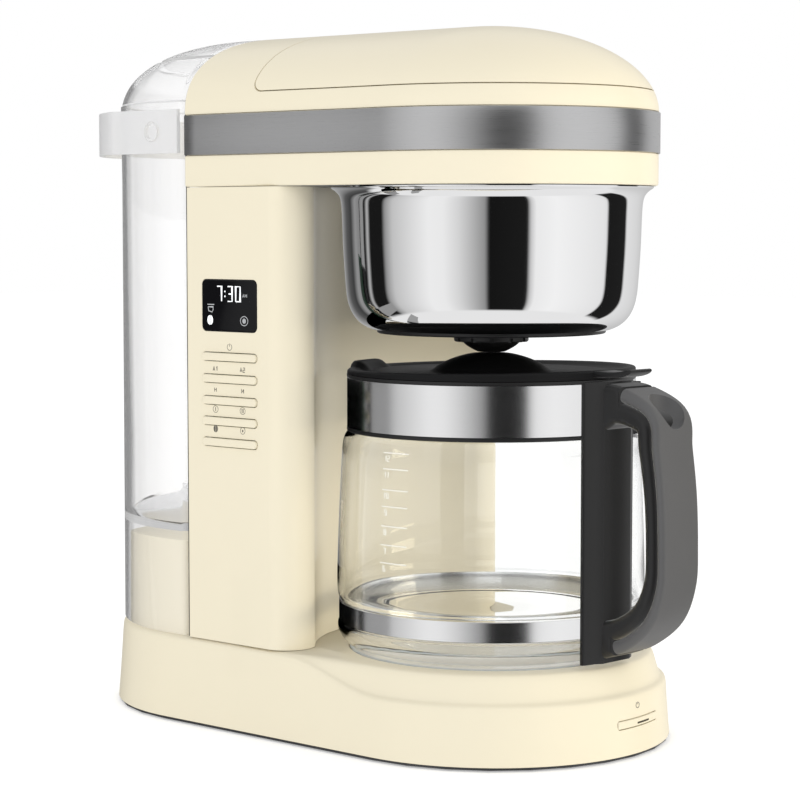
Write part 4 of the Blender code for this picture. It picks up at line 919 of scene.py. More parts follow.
def make_marks():
    """Clock figures, display marks, button marks and the mark over the start button."""
    x0, x1 = PANEL_X
    wide, high = x1 - x0, DISPLAY_Z[1] - DISPLAY_Z[0]

    def at(u, v):
        return (x0 + u * wide, DISPLAY_Z[1] - v * high)

    bright = bmesh.new()
    figure_w, figure_h, stroke = 0.0031, 0.0074, 0.00065
    level = at(0, 0.27)[1]
    for sign, place in (("7", 0.325), ("3", 0.520), ("0", 0.668)):
        centre = (at(place, 0)[0], level)
        write(bright, sign, centre, figure_h, figure_w, stroke, lens_surface)
    for offset in (-0.0012, 0.0012):
        u = at(0.428, 0)[0]
        patch(bright, rounded_rect((u - 0.0004, level + offset - 0.0004),
                                   (u + 0.0004, level + offset + 0.0004), 0.0002, 3), lens_surface)
    bean(bright, *at(0.150, 0.790), 0.0018, 0.0024, 0.0006, lens_surface, True)
    piece("clock_figures", bright, "housing", "display_glass", GLOW)

    dim = bmesh.new()
    write(dim, "AM", at(0.790, 0.300), 0.0015, 0.0011, 0.00028, lens_surface)
    u, v = at(0.165, 0.555)
    ribbon(dim, [(u - 0.0024, v + 0.0018), (u + 0.0024, v + 0.0018)], 0.00045, lens_surface)
    ribbon(dim, [(u - 0.0020, v + 0.0006), (u - 0.0016, v - 0.0014), (u + 0.0008, v - 0.0020),
                 (u + 0.0016, v - 0.0008), (u + 0.0016, v + 0.0006), (u - 0.0020, v + 0.0006)],
           0.00040, lens_surface)
    bean(dim, *at(0.780, 0.790), 0.0026, 0.0023, 0.00035, lens_surface, False)
    piece("display_symbols", dim, "housing", "display_glass", DIM_GLOW)

    ink = bmesh.new()
    left, right, fine = x0 + 0.234 * wide, x0 + 0.736 * wide, 0.00024
    power_mark(ink, (x0 + x1) / 2, 0.1941, 0.0016, 0.00026, panel_surface)
    for text, centre, height, stroke in (
            ("A1", (left, 0.1830), 0.0021, 0.00036), ("A2", (right, 0.1830), 0.0021, 0.00036),
            ("H", (left, 0.1724), 0.0020, 0.00034), ("M", (right, 0.1724), 0.0020, 0.00034)):
        write(ink, text, centre, height, 0.0013, stroke, panel_surface)
    for u, turns in ((left, 1), (right, 2)):
        ribbon(ink, ellipse(u, 0.1626, 0.0018, 0.0017), fine, panel_surface, closed=True)
        for k in range(turns):
            shift = (k - (turns - 1) / 2) * 0.0009
            ribbon(ink, [(u + shift, 0.1616), (u + shift, 0.1636)], 0.00040, panel_surface)
    bean(ink, left, 0.1527, 0.0014, 0.0018, 0.0004, panel_surface, True)
    ribbon(ink, ellipse(right, 0.1527, 0.0016, 0.0017), fine, panel_surface, closed=True)
    patch(ink, ellipse(right, 0.1526, 0.0005, 0.0006, 12), panel_surface)
    piece("panel_marks", ink, "housing", "dark_plastic", INK)

    nose = bmesh.new()
    power_mark(nose, math.radians(2.6) * BASE_TOP_R, 0.0250, 0.0014, 0.00030, nose_print)
    piece("start_mark", nose, "housing", "dark_plastic", INK)


# ---------------------------------------------------------------- the head
def make_head():
    """Head casing, brew lid, the lip behind their seam, and the brushed strap."""
    half = HEAD_REAR_HALF + 2 * MARGIN
    low, high = STRAP_Z[0] - GAP, STRAP_Z[1] + GAP
    ease = 0.0002
    levels = [(HEAD_Z, 0.0010), (HEAD_Z + 0.0004, 0.0003), (HEAD_Z + 0.0010, 0.0),
              (low - ease, 0.0), (low, STRAP_GROOVE), (high, STRAP_GROOVE), (high + ease, 0.0)]
    levels += [(z, 0.0) for z in dome_levels(high + ease, 34)]
    casing = to_object("head_casing", skin([head_ring(z, inset) for z, inset in levels],
                                           cap_low=False))
    thicken(casing, WALL)
    carve(casing, prism(lid_outline(-SEAM / 2), -half, half, 'Y'))
    finish_piece(casing, "housing", "cream_plastic", CREAM, ["head_shell"])

    lid_levels = [LID_Z - 0.004] + dome_levels(LID_Z - 0.004, 30)
    lid = to_object("lid_casing", skin([head_ring(z) for z in lid_levels], cap_low=False))
    thicken(lid, WALL)
    carve(lid, prism(lid_outline(SEAM / 2), -half, half, 'Y'), operation='INTERSECT')
    finish_piece(lid, "brew_lid", "cream_plastic", CREAM, ["brew_lid"])

    lip_levels = [LID_Z - 0.006] + dome_levels(LID_Z - 0.006, 26, 86)
    lip = to_object("lid_seat", skin([head_ring(z, WALL + 0.0003) for z in lip_levels],
                                     cap_low=False))
    thicken(lip, LIP_WALL)
    outer, inner = lid_outline(-0.0035)[:14], lid_outline(0.0030)[:14]
    top = CROWN_Z + MARGIN
    band = [(outer[0][0], top)] + outer + list(reversed(inner)) + [(inner[0][0], top)]
    carve(lip, prism(band, -half, half, 'Y'), operation='INTERSECT')
    finish_piece(lip, "housing", "cream_plastic", CREAM)

    path = head_ring(STRAP_Z[0])
    split = ROUND_STEPS + 1 + SIDE_STEPS
    order = path[split:] + path[:split]
    rows = []
    for z in (STRAP_Z[0], STRAP_Z[1]):
        row = []
        for x, y, _ in order:
            reach = math.hypot(max(x, 0.0), y)
            grow = (reach + STRAP_PROUD) / reach
            row.append((x * grow if x > 0 else x, y * grow, z))
        rows.append(row)
    strap = to_object("brushed_strap", skin(rows, False, False, closed=False))
    thicken(strap, STRAP_PROUD + STRAP_GROOVE - 2 * GAP)
    soften(strap, 0.00025, 2)
    finish_piece(strap, "housing", "brushed_steel", BRUSHED, ["metal_strap"])


def make_seam_shadow_strip():
    """Painted shade: a thin dark strip in the gap between the tank and the rest of the machine."""
    half = [(TOWER_HALF, DECK_Z + 0.0006), (TOWER_HALF, HEAD_Z), (TANK_R, HEAD_Z + 0.001),
            (TANK_R, DOME_Z)]
    for i in range(1, 40):
        z = dome_height(math.radians(89 * i / 39))
        half.append((TANK_R * dome_ratio(z, 1.0), z))
    front, back = SEAM_X + GAP, SEAM_X - GAP
    rows = [[], [], [], []]
    for y, z in half + [(-y, z) for y, z in reversed(half)]:
        run = Vector((y, max(z - DOME_Z, 0.0)))
        run.normalize()
        for row, (x, depth) in zip(rows, ((back, 0.0003), (front, 0.0003), (front, 0.0022),
                                          (back, 0.0022))):
            row.append((x, y - run.x * depth, z - run.y * depth))
    # The rubber finish on this strip paints the dark shade line of the seam gap; no gasket stands
    # there
    piece("seam_shadow_strip", tube(bmesh.new(), rows), "housing", "rubber", RUBBER)


# ---------------------------------------------------------------- the bowl and the valve
def bowl_profile():
    """Outer side of the chrome bowl, from the rim down."""
    return beside(BOWL_RIM_R, HEAD_Z, [(0.0, -0.0004), (0.0, -0.0010)]) + beside(
        BOWL_R, HEAD_Z, [
            (0.0032, -0.0026), (0.0012, -0.0050), (0.0004, -0.0085), (0.0, -0.0150),
            (-0.0004, -0.0300), (-0.0013, -0.0440), (-0.0020, -0.0530), (-0.0032, -0.0590),
            (-0.0058, -0.0644), (-0.0098, -0.0684), (-0.0150, -0.0708), (-0.0166, -0.0708)])


def make_bowl():
    """Chrome filter bowl, its black base, the valve ring and the drip stop valve."""
    outer = eased(bowl_profile())
    inner = eased([(BOWL_BASE_R + GAP, HEAD_Z - 0.0700)] + beside(BOWL_R, HEAD_Z, [
        (-0.0112, -0.0674), (-0.0050, -0.0600), (-0.0032, -0.0528), (-0.0012, -0.0120),
        (0.0008, -0.0040)]) + [(BOWL_RIM_R - 0.0014, HEAD_Z - 0.0002)])
    piece("chrome_bowl", turned(outer + inner, 192), "housing", "chrome", CHROME,
          ["filter_bowl"])

    base = BOWL_BASE_Z
    plate = turned([(BOWL_BASE_R, base + 0.0020)] + eased(
        [(BOWL_BASE_R, base + 0.0014), (BOWL_BASE_R - 0.0002, base + 0.0002),
         (BOWL_BASE_R - 0.0014, base)]) + [
        (VALVE_RING_R + GAP, base), (VALVE_RING_R + GAP, base + 0.0020)])
    piece("bowl_underside", plate, "housing", "black_plastic", BLACK, ["bowl_base"])

    low = VALVE_TIP_Z + 0.0050
    ring = to_object("valve_collar", turned([
        (VALVE_RING_R, base + 0.0016), (VALVE_RING_R, low + 0.0006),
        (VALVE_RING_R - 0.0006, low), (VALVE_R + 0.0010, low), (VALVE_R + 0.0006, low + 0.0006),
        (VALVE_R + 0.0006, base + 0.0016)], 96))
    notches = bmesh.new()
    near, far, half = VALVE_RING_R - 0.0012, VALVE_RING_R + 0.002, 0.0011
    for i in range(NOTCHES):
        turn = Matrix.Rotation(2 * math.pi * (i + 0.35) / NOTCHES, 4, 'Z')
        prism([(near, -half), (far, -half), (far, half), (near, half)], low - 0.001,
              low + 0.0022, bm=notches)
        bmesh.ops.transform(notches, matrix=turn, verts=list(notches.verts)[-8:])
    carve(ring, notches)
    finish_piece(ring, "housing", "dark_plastic", DARK, ["valve_ring"])

    tip = VALVE_TIP_Z
    valve = turned([(0.0, BASKET_Z + 0.0060), (STEM_R - 0.0010, BASKET_Z + 0.0060),
                    (STEM_R, BASKET_Z + 0.0045), (STEM_R, tip + 0.0070),
                    (VALVE_R - 0.0016, tip + 0.0070)] + eased([
                        (VALVE_R, tip + 0.0066), (VALVE_R, tip + 0.0056),
                        (VALVE_R - 0.0012, tip + 0.0040), (0.0118, tip + 0.0026),
                        (0.0096, tip + 0.0013), (0.0070, tip)]) + [(0.0, tip)], 96,
                   closed=False)
    piece("valve_cone", valve, "drip_stop", "black_plastic", BLACK, ["drip_stop_valve"])


# ---------------------------------------------------------------- the tank
def make_tank():
    """Clear tank, its shoulder and filling lid, and the dock under it."""
    dock_inset = TANK_WALL + DOCK_CLEARANCE
    dock = to_object("tank_pedestal", skin([
        tank_ring(DECK_Z + GAP, dock_inset), tank_ring(DOCK_TOP_Z - 0.0016, dock_inset),
        tank_ring(DOCK_TOP_Z - 0.0005, dock_inset + 0.0003),
        tank_ring(DOCK_TOP_Z, dock_inset + 0.0014)], cap_low=False))
    thicken(dock, WALL)
    carve(dock, plug(DOCK_WELL_R, DOCK_TOP_Z - MARGIN, DOCK_TOP_Z + MARGIN, 64, TANK_PORT))
    finish_piece(dock, "housing", "cream_plastic", CREAM, ["tank_dock"])

    body = to_object("tank_shell", skin([
        tank_ring(DECK_Z + 0.0006, 0.0004), tank_ring(DECK_Z + 0.0012, 0.0),
        tank_ring(DECK_Z + 0.10, 0.0002), tank_ring(TANK_TOP_Z - 0.04, 0.0004),
        tank_ring(TANK_TOP_Z, 0.0)]))
    hollow = skin([tank_ring(TANK_FLOOR_Z + TANK_WALL, TANK_WALL + 0.006),
                   tank_ring(TANK_FLOOR_Z + TANK_WALL + 0.0018, TANK_WALL + 0.0018),
                   tank_ring(TANK_FLOOR_Z + TANK_WALL + 0.006, TANK_WALL + 0.0004),
                   tank_ring(TANK_TOP_Z + MARGIN, TANK_WALL)])
    carve(body, hollow)
    carve(body, skin([tank_ring(DECK_Z - MARGIN, TANK_WALL),
                      tank_ring(TANK_FLOOR_Z, TANK_WALL + 0.0002)]))
    finish_piece(body, "tank", "clear_plastic", CLEAR, ["tank_body"])

    crown_end = dome_height(math.radians(88))
    for name, low, high, closed, rider, node in (
            ("tank_crown", TANK_TOP_Z + 3 * GAP, FLAP_Z - 2 * GAP, False, "tank",
             "tank_shoulder"),
            ("tank_flap", FLAP_Z + 4 * GAP, crown_end, True, "tank_lid", "tank_lid")):
        part = to_object(name, skin(tank_dome_rings(low, high), False, closed))
        thicken(part, TANK_WALL - 0.0004)
        finish_piece(part, rider, "clear_plastic", CLEAR, [node])

    seal_z = TANK_TOP_Z + 1.5 * GAP
    seal = skin([tank_ring(seal_z - GAP, 0.0009), tank_ring(seal_z + GAP, 0.0009)], False, False)
    seal = thicken(to_object("shoulder_seam", seal), 0.0010)
    finish_piece(seal, "tank", "frosted_plastic", FROSTED)


def make_bail():
    """Carrying handle round the back of the tank, and the studs it turns on."""
    pivot_x, pivot_z = BAIL_PIVOT
    inner = TANK_R + BAIL_CLEARANCE
    front = SEAM_X - SEAM - 0.0012
    reach = BAIL_REACH_R - BAIL_THICKNESS
    start = arc((REAR_AXIS_X, 0.0), reach, 112, 180, 48)
    half = smooth_path([(pivot_x - 0.004, inner), (pivot_x - 0.010, inner),
                        ((pivot_x - 0.010) * 0.5 + start[0][0] * 0.5, inner + 0.0007), start[0]],
                       18)
    half = [(front, inner), (pivot_x + 0.006, inner)] + half + start[1:]
    path = half + [(x, -y) for x, y in reversed(half[:-1])]
    low, high = pivot_z - BAIL_HEIGHT / 2, pivot_z + BAIL_HEIGHT / 2
    rows = [[(x, y, z) for x, y in path] for z in (low, high)]
    bail = to_object("carrying_handle", skin(rows, False, False, closed=False))
    thicken(bail, BAIL_THICKNESS, 1.0, even=False)
    holes = bmesh.new()
    for side in (-1, 1):
        middle = side * (TANK_R + 0.005)
        prism(arc(BAIL_PIVOT, PIVOT_R + GAP, 0, 354, 59), middle - 0.005, middle + 0.005, 'Y',
              holes)
    carve(bail, holes)
    soften(bail, 0.0006, 3, 50)
    finish_piece(bail, "tank_handle", "frosted_plastic", FROSTED, ["tank_handle"])
    for side, name in ((-1, "left"), (1, "right")):
        start = side * (TANK_R + GAP)
        end = side * (TANK_R + BAIL_CLEARANCE + BAIL_THICKNESS + 0.0003)
        dish = end - side * 0.0007
        stud = bmesh.new()
        rings = []
        for radius, y in ((PIVOT_R, start), (PIVOT_R, end - side * 0.0003),
                          (PIVOT_R - 0.0003, end), (PIVOT_R - 0.0011, end),
                          (PIVOT_R - 0.0016, dish), (0.0006, dish)):
            rings.append([(x, y, z) for x, z in arc(BAIL_PIVOT, radius, 0, 352.5, 47)])
        skin(rings, bm=stud)
        bmesh.ops.recalc_face_normals(stud, faces=stud.faces)
        piece(f"pivot_button_{name}", stud, "tank", "frosted_plastic", FROSTED,
              [f"pivot_stud_{name}"])


# ---------------------------------------------------------------- the carafe
def jug_outer():
    """Outer side of the glass, from the neck down."""
    bottom = HOTPLATE_TOP + GAP
    return [(NECK_R, COLLAR_Z[1] - 0.0030), (NECK_R, COLLAR_Z[0] + 0.0030),
            (0.0704, COLLAR_Z[0] + 0.0002), (0.0728, COLLAR_Z[0] - 0.0022),
            (0.0743, COLLAR_Z[0] - 0.0070), (0.0757, 0.1200), (0.0768, 0.0900),
            (0.0770, 0.0790), (0.0767, LOWER_BAND_Z[1] + 0.0030),
            (LOWER_BAND_R, LOWER_BAND_Z[1] + GAP), (LOWER_BAND_R, LOWER_BAND_Z[0] - GAP),
            (0.0769, LOWER_BAND_Z[0] - 0.0012), (0.0762, bottom + 0.0065),
            (0.0722, bottom + 0.0014), (0.0660, bottom), (0.0560, bottom + 0.0010)]


def jug_radius(height):
    """Radius of the glass at a height."""
    line = jug_outer()
    for (r0, z0), (r1, z1) in zip(line, line[1:]):
        if z0 >= height > z1:
            return r0 + (r1 - r0) * (z0 - height) / (z0 - z1)
    return JUG_R


def make_jug():
    """Glass jug with its printed scale, the collar round its neck and the two steel bands."""
    bottom, w = HOTPLATE_TOP + GAP, JUG_WALL
    outer = eased(jug_outer()) + [(0.0, bottom + 0.0016)]
    inner = [(0.0, bottom + 0.0016 + w)] + eased([
        (0.0560, bottom + 0.0010 + w), (0.0665, bottom + 0.0014 + w),
        (LOWER_BAND_R - w, bottom + 0.0120), (0.0767 - w, 0.0850), (0.0757 - w, 0.1200),
        (0.0741 - w, COLLAR_Z[0] - 0.0070), (NECK_R - w, COLLAR_Z[0] + 0.0040),
        (NECK_R - w, COLLAR_Z[1] - 0.0030)], 3)
    piece("jug_glass", turned(inner + outer, 160, closed=False), "carafe", "glass", GLASS,
          ["glass_jug"], CARAFE)

    trim, core = COLLAR_R + 0.0001, COLLAR_R - 0.0009
    collar = to_object("neck_collar", turned([
        (trim, COLLAR_Z[1]), (trim, COLLAR_BAND_Z[1] + GAP), (core, COLLAR_BAND_Z[1] + GAP),
        (core, COLLAR_BAND_Z[0] - GAP), (trim, COLLAR_BAND_Z[0] - GAP), (trim, COLLAR_Z[0]),
        (COLLAR_R - 0.0001, COLLAR_Z[0] - 0.0006), (0.0711, COLLAR_Z[0] + 0.0006),
        (NECK_R + GAP, COLLAR_Z[0] + 0.0036), (NECK_R + GAP, COLLAR_Z[1] - 0.0020),
        (NECK_R - w, COLLAR_Z[1] - 0.0020), (NECK_R - w, COLLAR_Z[1])]), CARAFE)
    finish_piece(collar, "carafe", "black_plastic", BLACK, ["carafe_collar"])

    for name, node, radius, back, (low, high) in (
            ("collar_steel_band", "collar_band", COLLAR_R, core + GAP, COLLAR_BAND_Z),
            ("lower_steel_band", "lower_band", LOWER_BAND_R + 0.0009, LOWER_BAND_R + GAP,
             LOWER_BAND_Z)):
        band = to_object(name, turned([
            (radius - 0.0002, high), (radius, high - 0.0002), (radius, low + 0.0002),
            (radius - 0.0002, low), (back, low), (back, high)], 192), CARAFE)
        finish_piece(band, "carafe", "brushed_steel", BAND_STEEL, [node])

    scale = bmesh.new()
    line_z = (0.1465, 0.1388, 0.1288, 0.1208, 0.1114, 0.1024, 0.0938)
    start, end = math.radians(-91.5) * JUG_R, math.radians(-79.5) * JUG_R
    for k, z in enumerate(line_z):
        run = [(start + (end - start) * i / 12, z) for i in range(13)]
        ribbon(scale, run, 0.00055, jug_surface)
        write(scale, str(12 - k), (start + 0.0026, z - 0.0028), 0.0026, 0.0012, 0.0004,
              jug_surface)
    piece("jug_scale", scale, "carafe", "glass", WHITE_INK, place=CARAFE)


GRIP_STEPS = 78
GRIP_SPAN = (9, 73)     # the stations between which the soft cover lies


def handle_stations():
    """Stations along the grip from its root to its foot: place, thickness and width."""
    out = HANDLE_REACH
    return smooth_path([
        (0.0795, 0.1690, 0.0225, HANDLE_W), (0.0900, 0.1705, 0.0180, HANDLE_W - 0.0008),
        (out - 0.0130, 0.1640, 0.0150, HANDLE_W), (out - 0.0103, 0.1500, 0.0135, HANDLE_W),
        (out - 0.0073, 0.1280, 0.0128, HANDLE_W), (out - 0.0063, 0.1040, 0.0126, HANDLE_W),
        (out - 0.0072, 0.0870, 0.0130, HANDLE_W), (out - 0.0138, 0.0722, 0.0145, HANDLE_W),
        (0.0930, 0.0622, 0.0160, HANDLE_W - 0.0008), (0.0795, 0.0576, 0.0180, HANDLE_W)],
        GRIP_STEPS)


def grip_sweep(first, last, side):
    """Sweep a rounded section along the grip; side is -1 inside, 1 outside the parting line."""
    stations = handle_stations()
    count = len(stations)
    rings = []
    for i in range(first, last + 1):
        x, z, thick, width = stations[i]
        before, after = stations[max(i - 1, 0)], stations[min(i + 1, count - 1)]
        run = Vector((after[0] - before[0], after[1] - before[1])).normalized()
        normal = Vector((-run.y, run.x))
        split = thick * 0.08
        if side < 0:
            low = -thick / 2
            high = split if GRIP_SPAN[0] < i < GRIP_SPAN[1] else thick / 2
        else:
            low, high = split + GAP * 1.5, thick / 2
            width = width + 0.0004
        corner = min(0.0045 if side > 0 else 0.0035, (high - low) * 0.48)
        ring = []
        for a, b in rounded_rect((-width / 2, low), (width / 2, high), corner):
            ring.append((x + normal.x * b, a, z + normal.y * b))
        rings.append(ring)
    return skin(rings)


def make_handle():
    """Handle core with its root plate, and the soft cover outside the parting line."""
    core = to_object("handle_core", grip_sweep(0, GRIP_STEPS, -1), CARAFE)
    face = JUG_R + 0.0009
    plate = beside(face, 0.0, [
        (0.0, -0.0232), (0.0014, -0.0234), (0.0024, -0.0222), (0.0034, -0.0165),
        (0.0055, -0.0130), (0.0055, 0.0072), (0.0038, 0.0100), (0.0030, 0.0118),
        (0.0018, 0.0130), (0.0, 0.0128)])
    carve(core, prism(plate, HOTPLATE_TOP + 0.0020, COLLAR_Z[1]), CARAFE, 'UNION')
    neck = [(COLLAR_R + GAP * 2, -0.0150), (face + 0.0030, -0.0175), (face + 0.0030, 0.0175),
            (COLLAR_R + GAP * 2, 0.0150)]
    carve(core, prism(neck, COLLAR_Z[0] + 0.0014, COLLAR_Z[1] - 0.0010), CARAFE, 'UNION')
    level = COLLAR_Z[0] + 0.0002
    carve(core, plug(COLLAR_R + 0.0004, level, COLLAR_Z[1] + 2 * MARGIN, 192), CARAFE)
    carve(core, plug(JUG_R + 0.0006, 2 * MARGIN, level, 192), CARAFE)
    finish_piece(core, "carafe", "black_plastic", BLACK, ["carafe_handle"])
    cover = to_object("grip_skin", grip_sweep(GRIP_SPAN[0] + 1, GRIP_SPAN[1] - 1, 1), CARAFE)
    thumb_rest = bmesh.new()
    bmesh.ops.create_uvsphere(thumb_rest, u_segments=48, v_segments=24, radius=1.0)
    bmesh.ops.transform(thumb_rest, verts=thumb_rest.verts, matrix=Matrix.Translation(
        (HANDLE_REACH - 0.0068, 0.0, 0.1745)) @ Matrix.Diagonal((0.0115, 0.0098, 0.0150, 1.0)))
    carve(cover, thumb_rest, CARAFE)
    finish_piece(cover, "carafe", "grip_plastic", GRIP, ["grip_cover"])


SPOUT_TURN = -160.0     # azimuth of the spout, in degrees
SPOUT_HALF = 10.0       # half its width, beyond which it slopes down
SPOUT_SLOPE = 5.0
SPOUT_RISE = 0.0030
RIM_DROP = 0.0024       # how far the rim falls away from the handle


def make_carafe_lid():
    """Black lid, dished round a central cone, with its spout lip and thumb lever."""
    r, z, top = CARAFE_LID_R, CARAFE_LID_Z, CARAFE_LID_TOP
    upper = eased(beside(0.0, top, [
        (0.0030, 0.0), (0.0085, 0.0), (0.0140, -0.0011), (0.0200, -0.0030), (0.0260, -0.0058),
        (0.0295, -0.0086), (0.0320, -0.0094), (0.0560, -0.0094), (0.0640, -0.0080),
        (0.0680, -0.0058), (r - 0.0008, -0.0058), (r, -0.0068)]))
    skirt = NECK_R - JUG_WALL - 0.0012
    lower = [(r, z), (skirt, z), (skirt, z - 0.0060), (skirt - 0.0018, z - 0.0060),
             (skirt - 0.0018, z - 0.0012),
             (0.0280, z - 0.0012), (0.0150, z + 0.0020), (0.0030, z + 0.0060)]
    dish = turned(upper + lower, 160)
    for vert in dish.verts:
        if vert.co.z > z + 0.0014:
            reach = math.hypot(vert.co.x, vert.co.y)
            away = (1 - vert.co.x / max(reach, 1e-6)) / 2
            turn = math.degrees(math.atan2(vert.co.y, vert.co.x))
            side = abs((turn - SPOUT_TURN + 180) % 360 - 180)
            outward = smoothstep((SPOUT_HALF + SPOUT_SLOPE - side) / SPOUT_SLOPE)
            vert.co.z -= RIM_DROP * away * smoothstep((reach - 0.036) / 0.020)
            vert.co.z += SPOUT_RISE * outward * smoothstep((reach - 0.060) / 0.006)
    piece("jug_lid", dish, "carafe_lid", "black_plastic", LID_BLACK, ["carafe_lid"], CARAFE)

    side = eased(beside(LID_HINGE_X, z, [
        (-0.0014, 0.0012), (0.0070, 0.0012), (0.0150, 0.0016), (0.0205, 0.0032),
        (0.0222, 0.0050), (0.0205, 0.0060), (0.0150, 0.0044), (0.0060, 0.0038),
        (-0.0014, 0.0040)]))
    lever = to_object("lever_paddle", prism(side, -0.0080, 0.0080, 'Y'), CARAFE)
    soften(lever, 0.0009, 3, 50)
    finish_piece(lever, "carafe_lid", "black_plastic", BLACK, ["thumb_lever"])


# ---------------------------------------------------------------- studio
CAMERA_PLACE = (BREW_X + 0.7353, -0.9062, 0.2554)
CAMERA_TILT = math.radians(90 - 4.30)
CAMERA_TURN = math.radians(41.29)
CAMERA_LENS = 105.4     # in millimetres, as is the sensor's width
CAMERA_SENSOR = 36.0


def set_camera():
    """Camera at the studio's viewing angle."""
    data = bpy.data.cameras.new("camera")
    data.lens = CAMERA_LENS
    data.sensor_width = CAMERA_SENSOR
    camera = bpy.data.objects.new("camera", data)
    camera.location = CAMERA_PLACE
    camera.rotation_euler = (CAMERA_TILT, 0.0, CAMERA_TURN)
    bpy.context.scene.collection.objects.link(camera)
    bpy.context.scene.camera = camera


# Brightness of the studio round the horizon, by azimuth in degrees: white panels with black edges
PANELS = [
    (-180, 0.30), (-174, 0.24), (-167, 0.30), (-166, 0.02), (-163.5, 0.02), (-162.5, 0.42),
    (-159.5, 0.40), (-158.5, 0.010), (-143, 0.010), (-140, 0.30), (-132, 0.58),
    (-122, 0.68), (-100, 0.92), (-88, 0.90), (-76, 0.72),
    (-56, 0.30), (-53, 0.008), (-24, 0.012), (-21, 0.62), (-17, 0.90), (0, 0.97),
    (25, 0.90), (44, 0.84), (47, 0.80), (49, 0.012), (72, 0.015), (75, 0.80), (95, 0.72),
    (130, 0.50), (160, 0.10), (172, 0.05), (180, 0.30)]


def set_world():
    """White studio; what shiny surfaces see has panels and dark edges round the horizon."""
    world = bpy.data.worlds.new("studio")
    bpy.context.scene.world = world
    world.use_nodes = True
    world.cycles.sampling_method = 'NONE'
    tree = world.node_tree
    tree.nodes.clear()
    where = add(tree, 'TexCoord')
    split = add(tree, 'SeparateXYZ')
    azimuth = add(tree, 'Math', operation='ARCTAN2')
    share = add(tree, 'MapRange', {"From Min": -math.pi, "From Max": math.pi})
    ramp = add(tree, 'ValToRGB')
    elements = ramp.color_ramp.elements
    for i, (angle, value) in enumerate(PANELS):
        place = (angle + 180) / 360
        element = elements[i] if i < 2 else elements.new(place)
        element.position = place
        element.color = (value, value, value, 1.0)
    level = add(tree, 'Math', operation='MULTIPLY')
    for i, (low, high) in enumerate(((-0.66, -0.58), (0.50, 0.42))):
        fade = add(tree, 'MapRange', {"From Min": low, "From Max": high},
                   interpolation_type='SMOOTHSTEP')
        wire(tree, (split, "Z", fade, "Value"), (fade, "Result", level, i))
    glossy = add(tree, 'Mix', {6: (0.86, 0.86, 0.86, 1.0)}, data_type='RGBA')

    paths = add(tree, 'LightPath')
    mirrored = add(tree, 'Math', operation='SUBTRACT', use_clamp=True)
    ambient = add(tree, 'Mix', {6: (1.0, 1.0, 1.0, 1.0), 7: (0.93, 0.93, 0.93, 1.0)},
                  data_type='RGBA')
    pick = add(tree, 'Mix', data_type='RGBA')
    background = add(tree, 'Background', {"Strength": 1.0})
    out = add(tree, 'OutputWorld')
    wire(tree, (where, "Generated", split, 0), (split, "Y", azimuth, 0),
         (split, "X", azimuth, 1), (azimuth, 0, share, "Value"), (share, "Result", ramp, "Fac"),
         (level, 0, glossy, "Factor"), (ramp, "Color", glossy, 7),
         (paths, "Is Glossy Ray", mirrored, 0), (paths, "Is Transmission Ray", mirrored, 1),
         (paths, "Is Diffuse Ray", ambient, "Factor"), (ambient, 2, pick, 6),
         (glossy, 2, pick, 7), (mirrored, 0, pick, "Factor"), (pick, 2, background, "Color"),
         (background, 0, out, "Surface"))


def set_lights():
    """Soft lamps that model the round shapes and fill the hollows."""
    for name, place, size, power, colour in (
            ("key_panel", (0.10, -1.60, 1.20), 1.2, 2.2, (1.0, 1.0, 1.0)),
            ("fill_panel", (0.90, -1.00, 0.30), 0.5, 1.2, (1.0, 1.0, 1.0)),
            ("warm_bounce", (1.10, 0.55, 0.22), 0.5, 4.0, (1.0, 0.90, 0.68))):
        data = bpy.data.lights.new(name, 'AREA')
        data.color = colour
        data.size = size
        data.energy = power
        lamp = bpy.data.objects.new(name, data)
        lamp.location = place
        aim = Vector(LAMP_AIM) - Vector(place)
        lamp.rotation_euler = aim.to_track_quat('-Z', 'Y').to_euler()
        lamp.visible_glossy = False
        lamp.visible_camera = False
        bpy.context.scene.collection.objects.link(lamp)


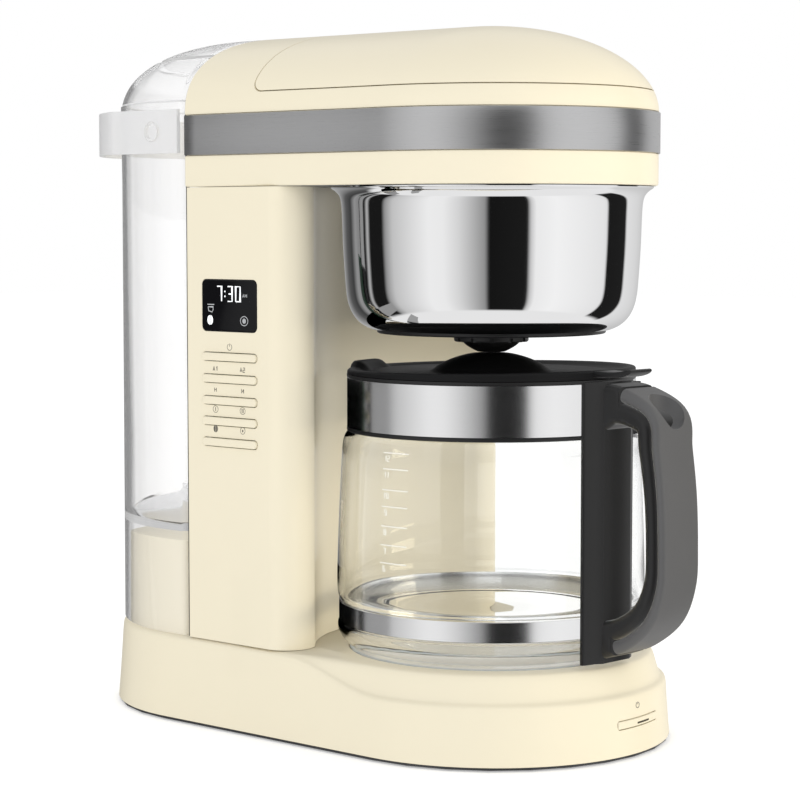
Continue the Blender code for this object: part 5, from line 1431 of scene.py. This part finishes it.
FLOOR_REACH = 6.0
LAMP_AIM = (0.0, 0.0, 0.15)


def make_floor():
    """Plain pale floor that keeps only a faint contact shadow."""
    bm = bmesh.new()
    bm.faces.new([bm.verts.new((x * FLOOR_REACH, y * FLOOR_REACH, 0.0))
                  for x, y in ((-1, -1), (1, -1), (1, 1), (-1, 1))])
    floor = to_object("studio_floor", bm)
    floor.data.materials.append(new_material(
        "studio_floor", Base_Color=(0.80, 0.80, 0.80), Roughness=0.9, Specular_IOR_Level=0.0,
        Emission_Color=(1.0, 1.0, 1.0), Emission_Strength=0.35)[0])
    floor.visible_glossy = False


# Cards at the tower that only shiny surfaces see: glow, heights, then the ends of each strip
CARD_X = -0.100
CARDS = [
    ("black_card_high", 0.0, (0.138, 0.176), ((-0.0985, -0.0905), (-0.0790, 0.0900))),
    ("black_card_low", 0.0, (0.030, 0.078), ((-0.1020, -0.0870), (-0.0805, 0.0900))),
    ("grey_card_high", 0.30, (0.138, 0.176), ((-0.1550, -0.0985),)),
    ("grey_card_low", 0.34, (0.030, 0.078), ((-0.1900, -0.1020),))]


def make_cards():
    """Studio cards that give the steel bands their dark ends."""
    x = BREW_X + CARD_X
    for name, glow, (low, high), strips in CARDS:
        bm = bmesh.new()
        for start, end in strips:
            bm.faces.new([bm.verts.new((x, y, z)) for y, z in
                          ((start, low), (end, low), (end, high), (start, high))])
        card = to_object(name, bm, Matrix.Identity(4))
        card.data.materials.append(new_material(
            name, Base_Color=(0.004, 0.004, 0.004), Specular_IOR_Level=0.0,
            Emission_Color=(1.0, 1.0, 1.0), Emission_Strength=glow)[0])
        card.visible_camera = False
        card.visible_diffuse = False
        card.visible_transmission = False
        card.visible_shadow = False


# ---------------------------------------------------------------- assembly
bpy.context.scene.view_settings.view_transform = 'Standard'
set_camera()
set_world()
set_lights()
make_floor()
make_cards()
finish_nodes()
make_base()
make_start_button()
make_tower()
make_marks()
make_head()
make_seam_shadow_strip()
make_bowl()
make_tank()
make_bail()
make_jug()
make_handle()
make_carafe_lid()
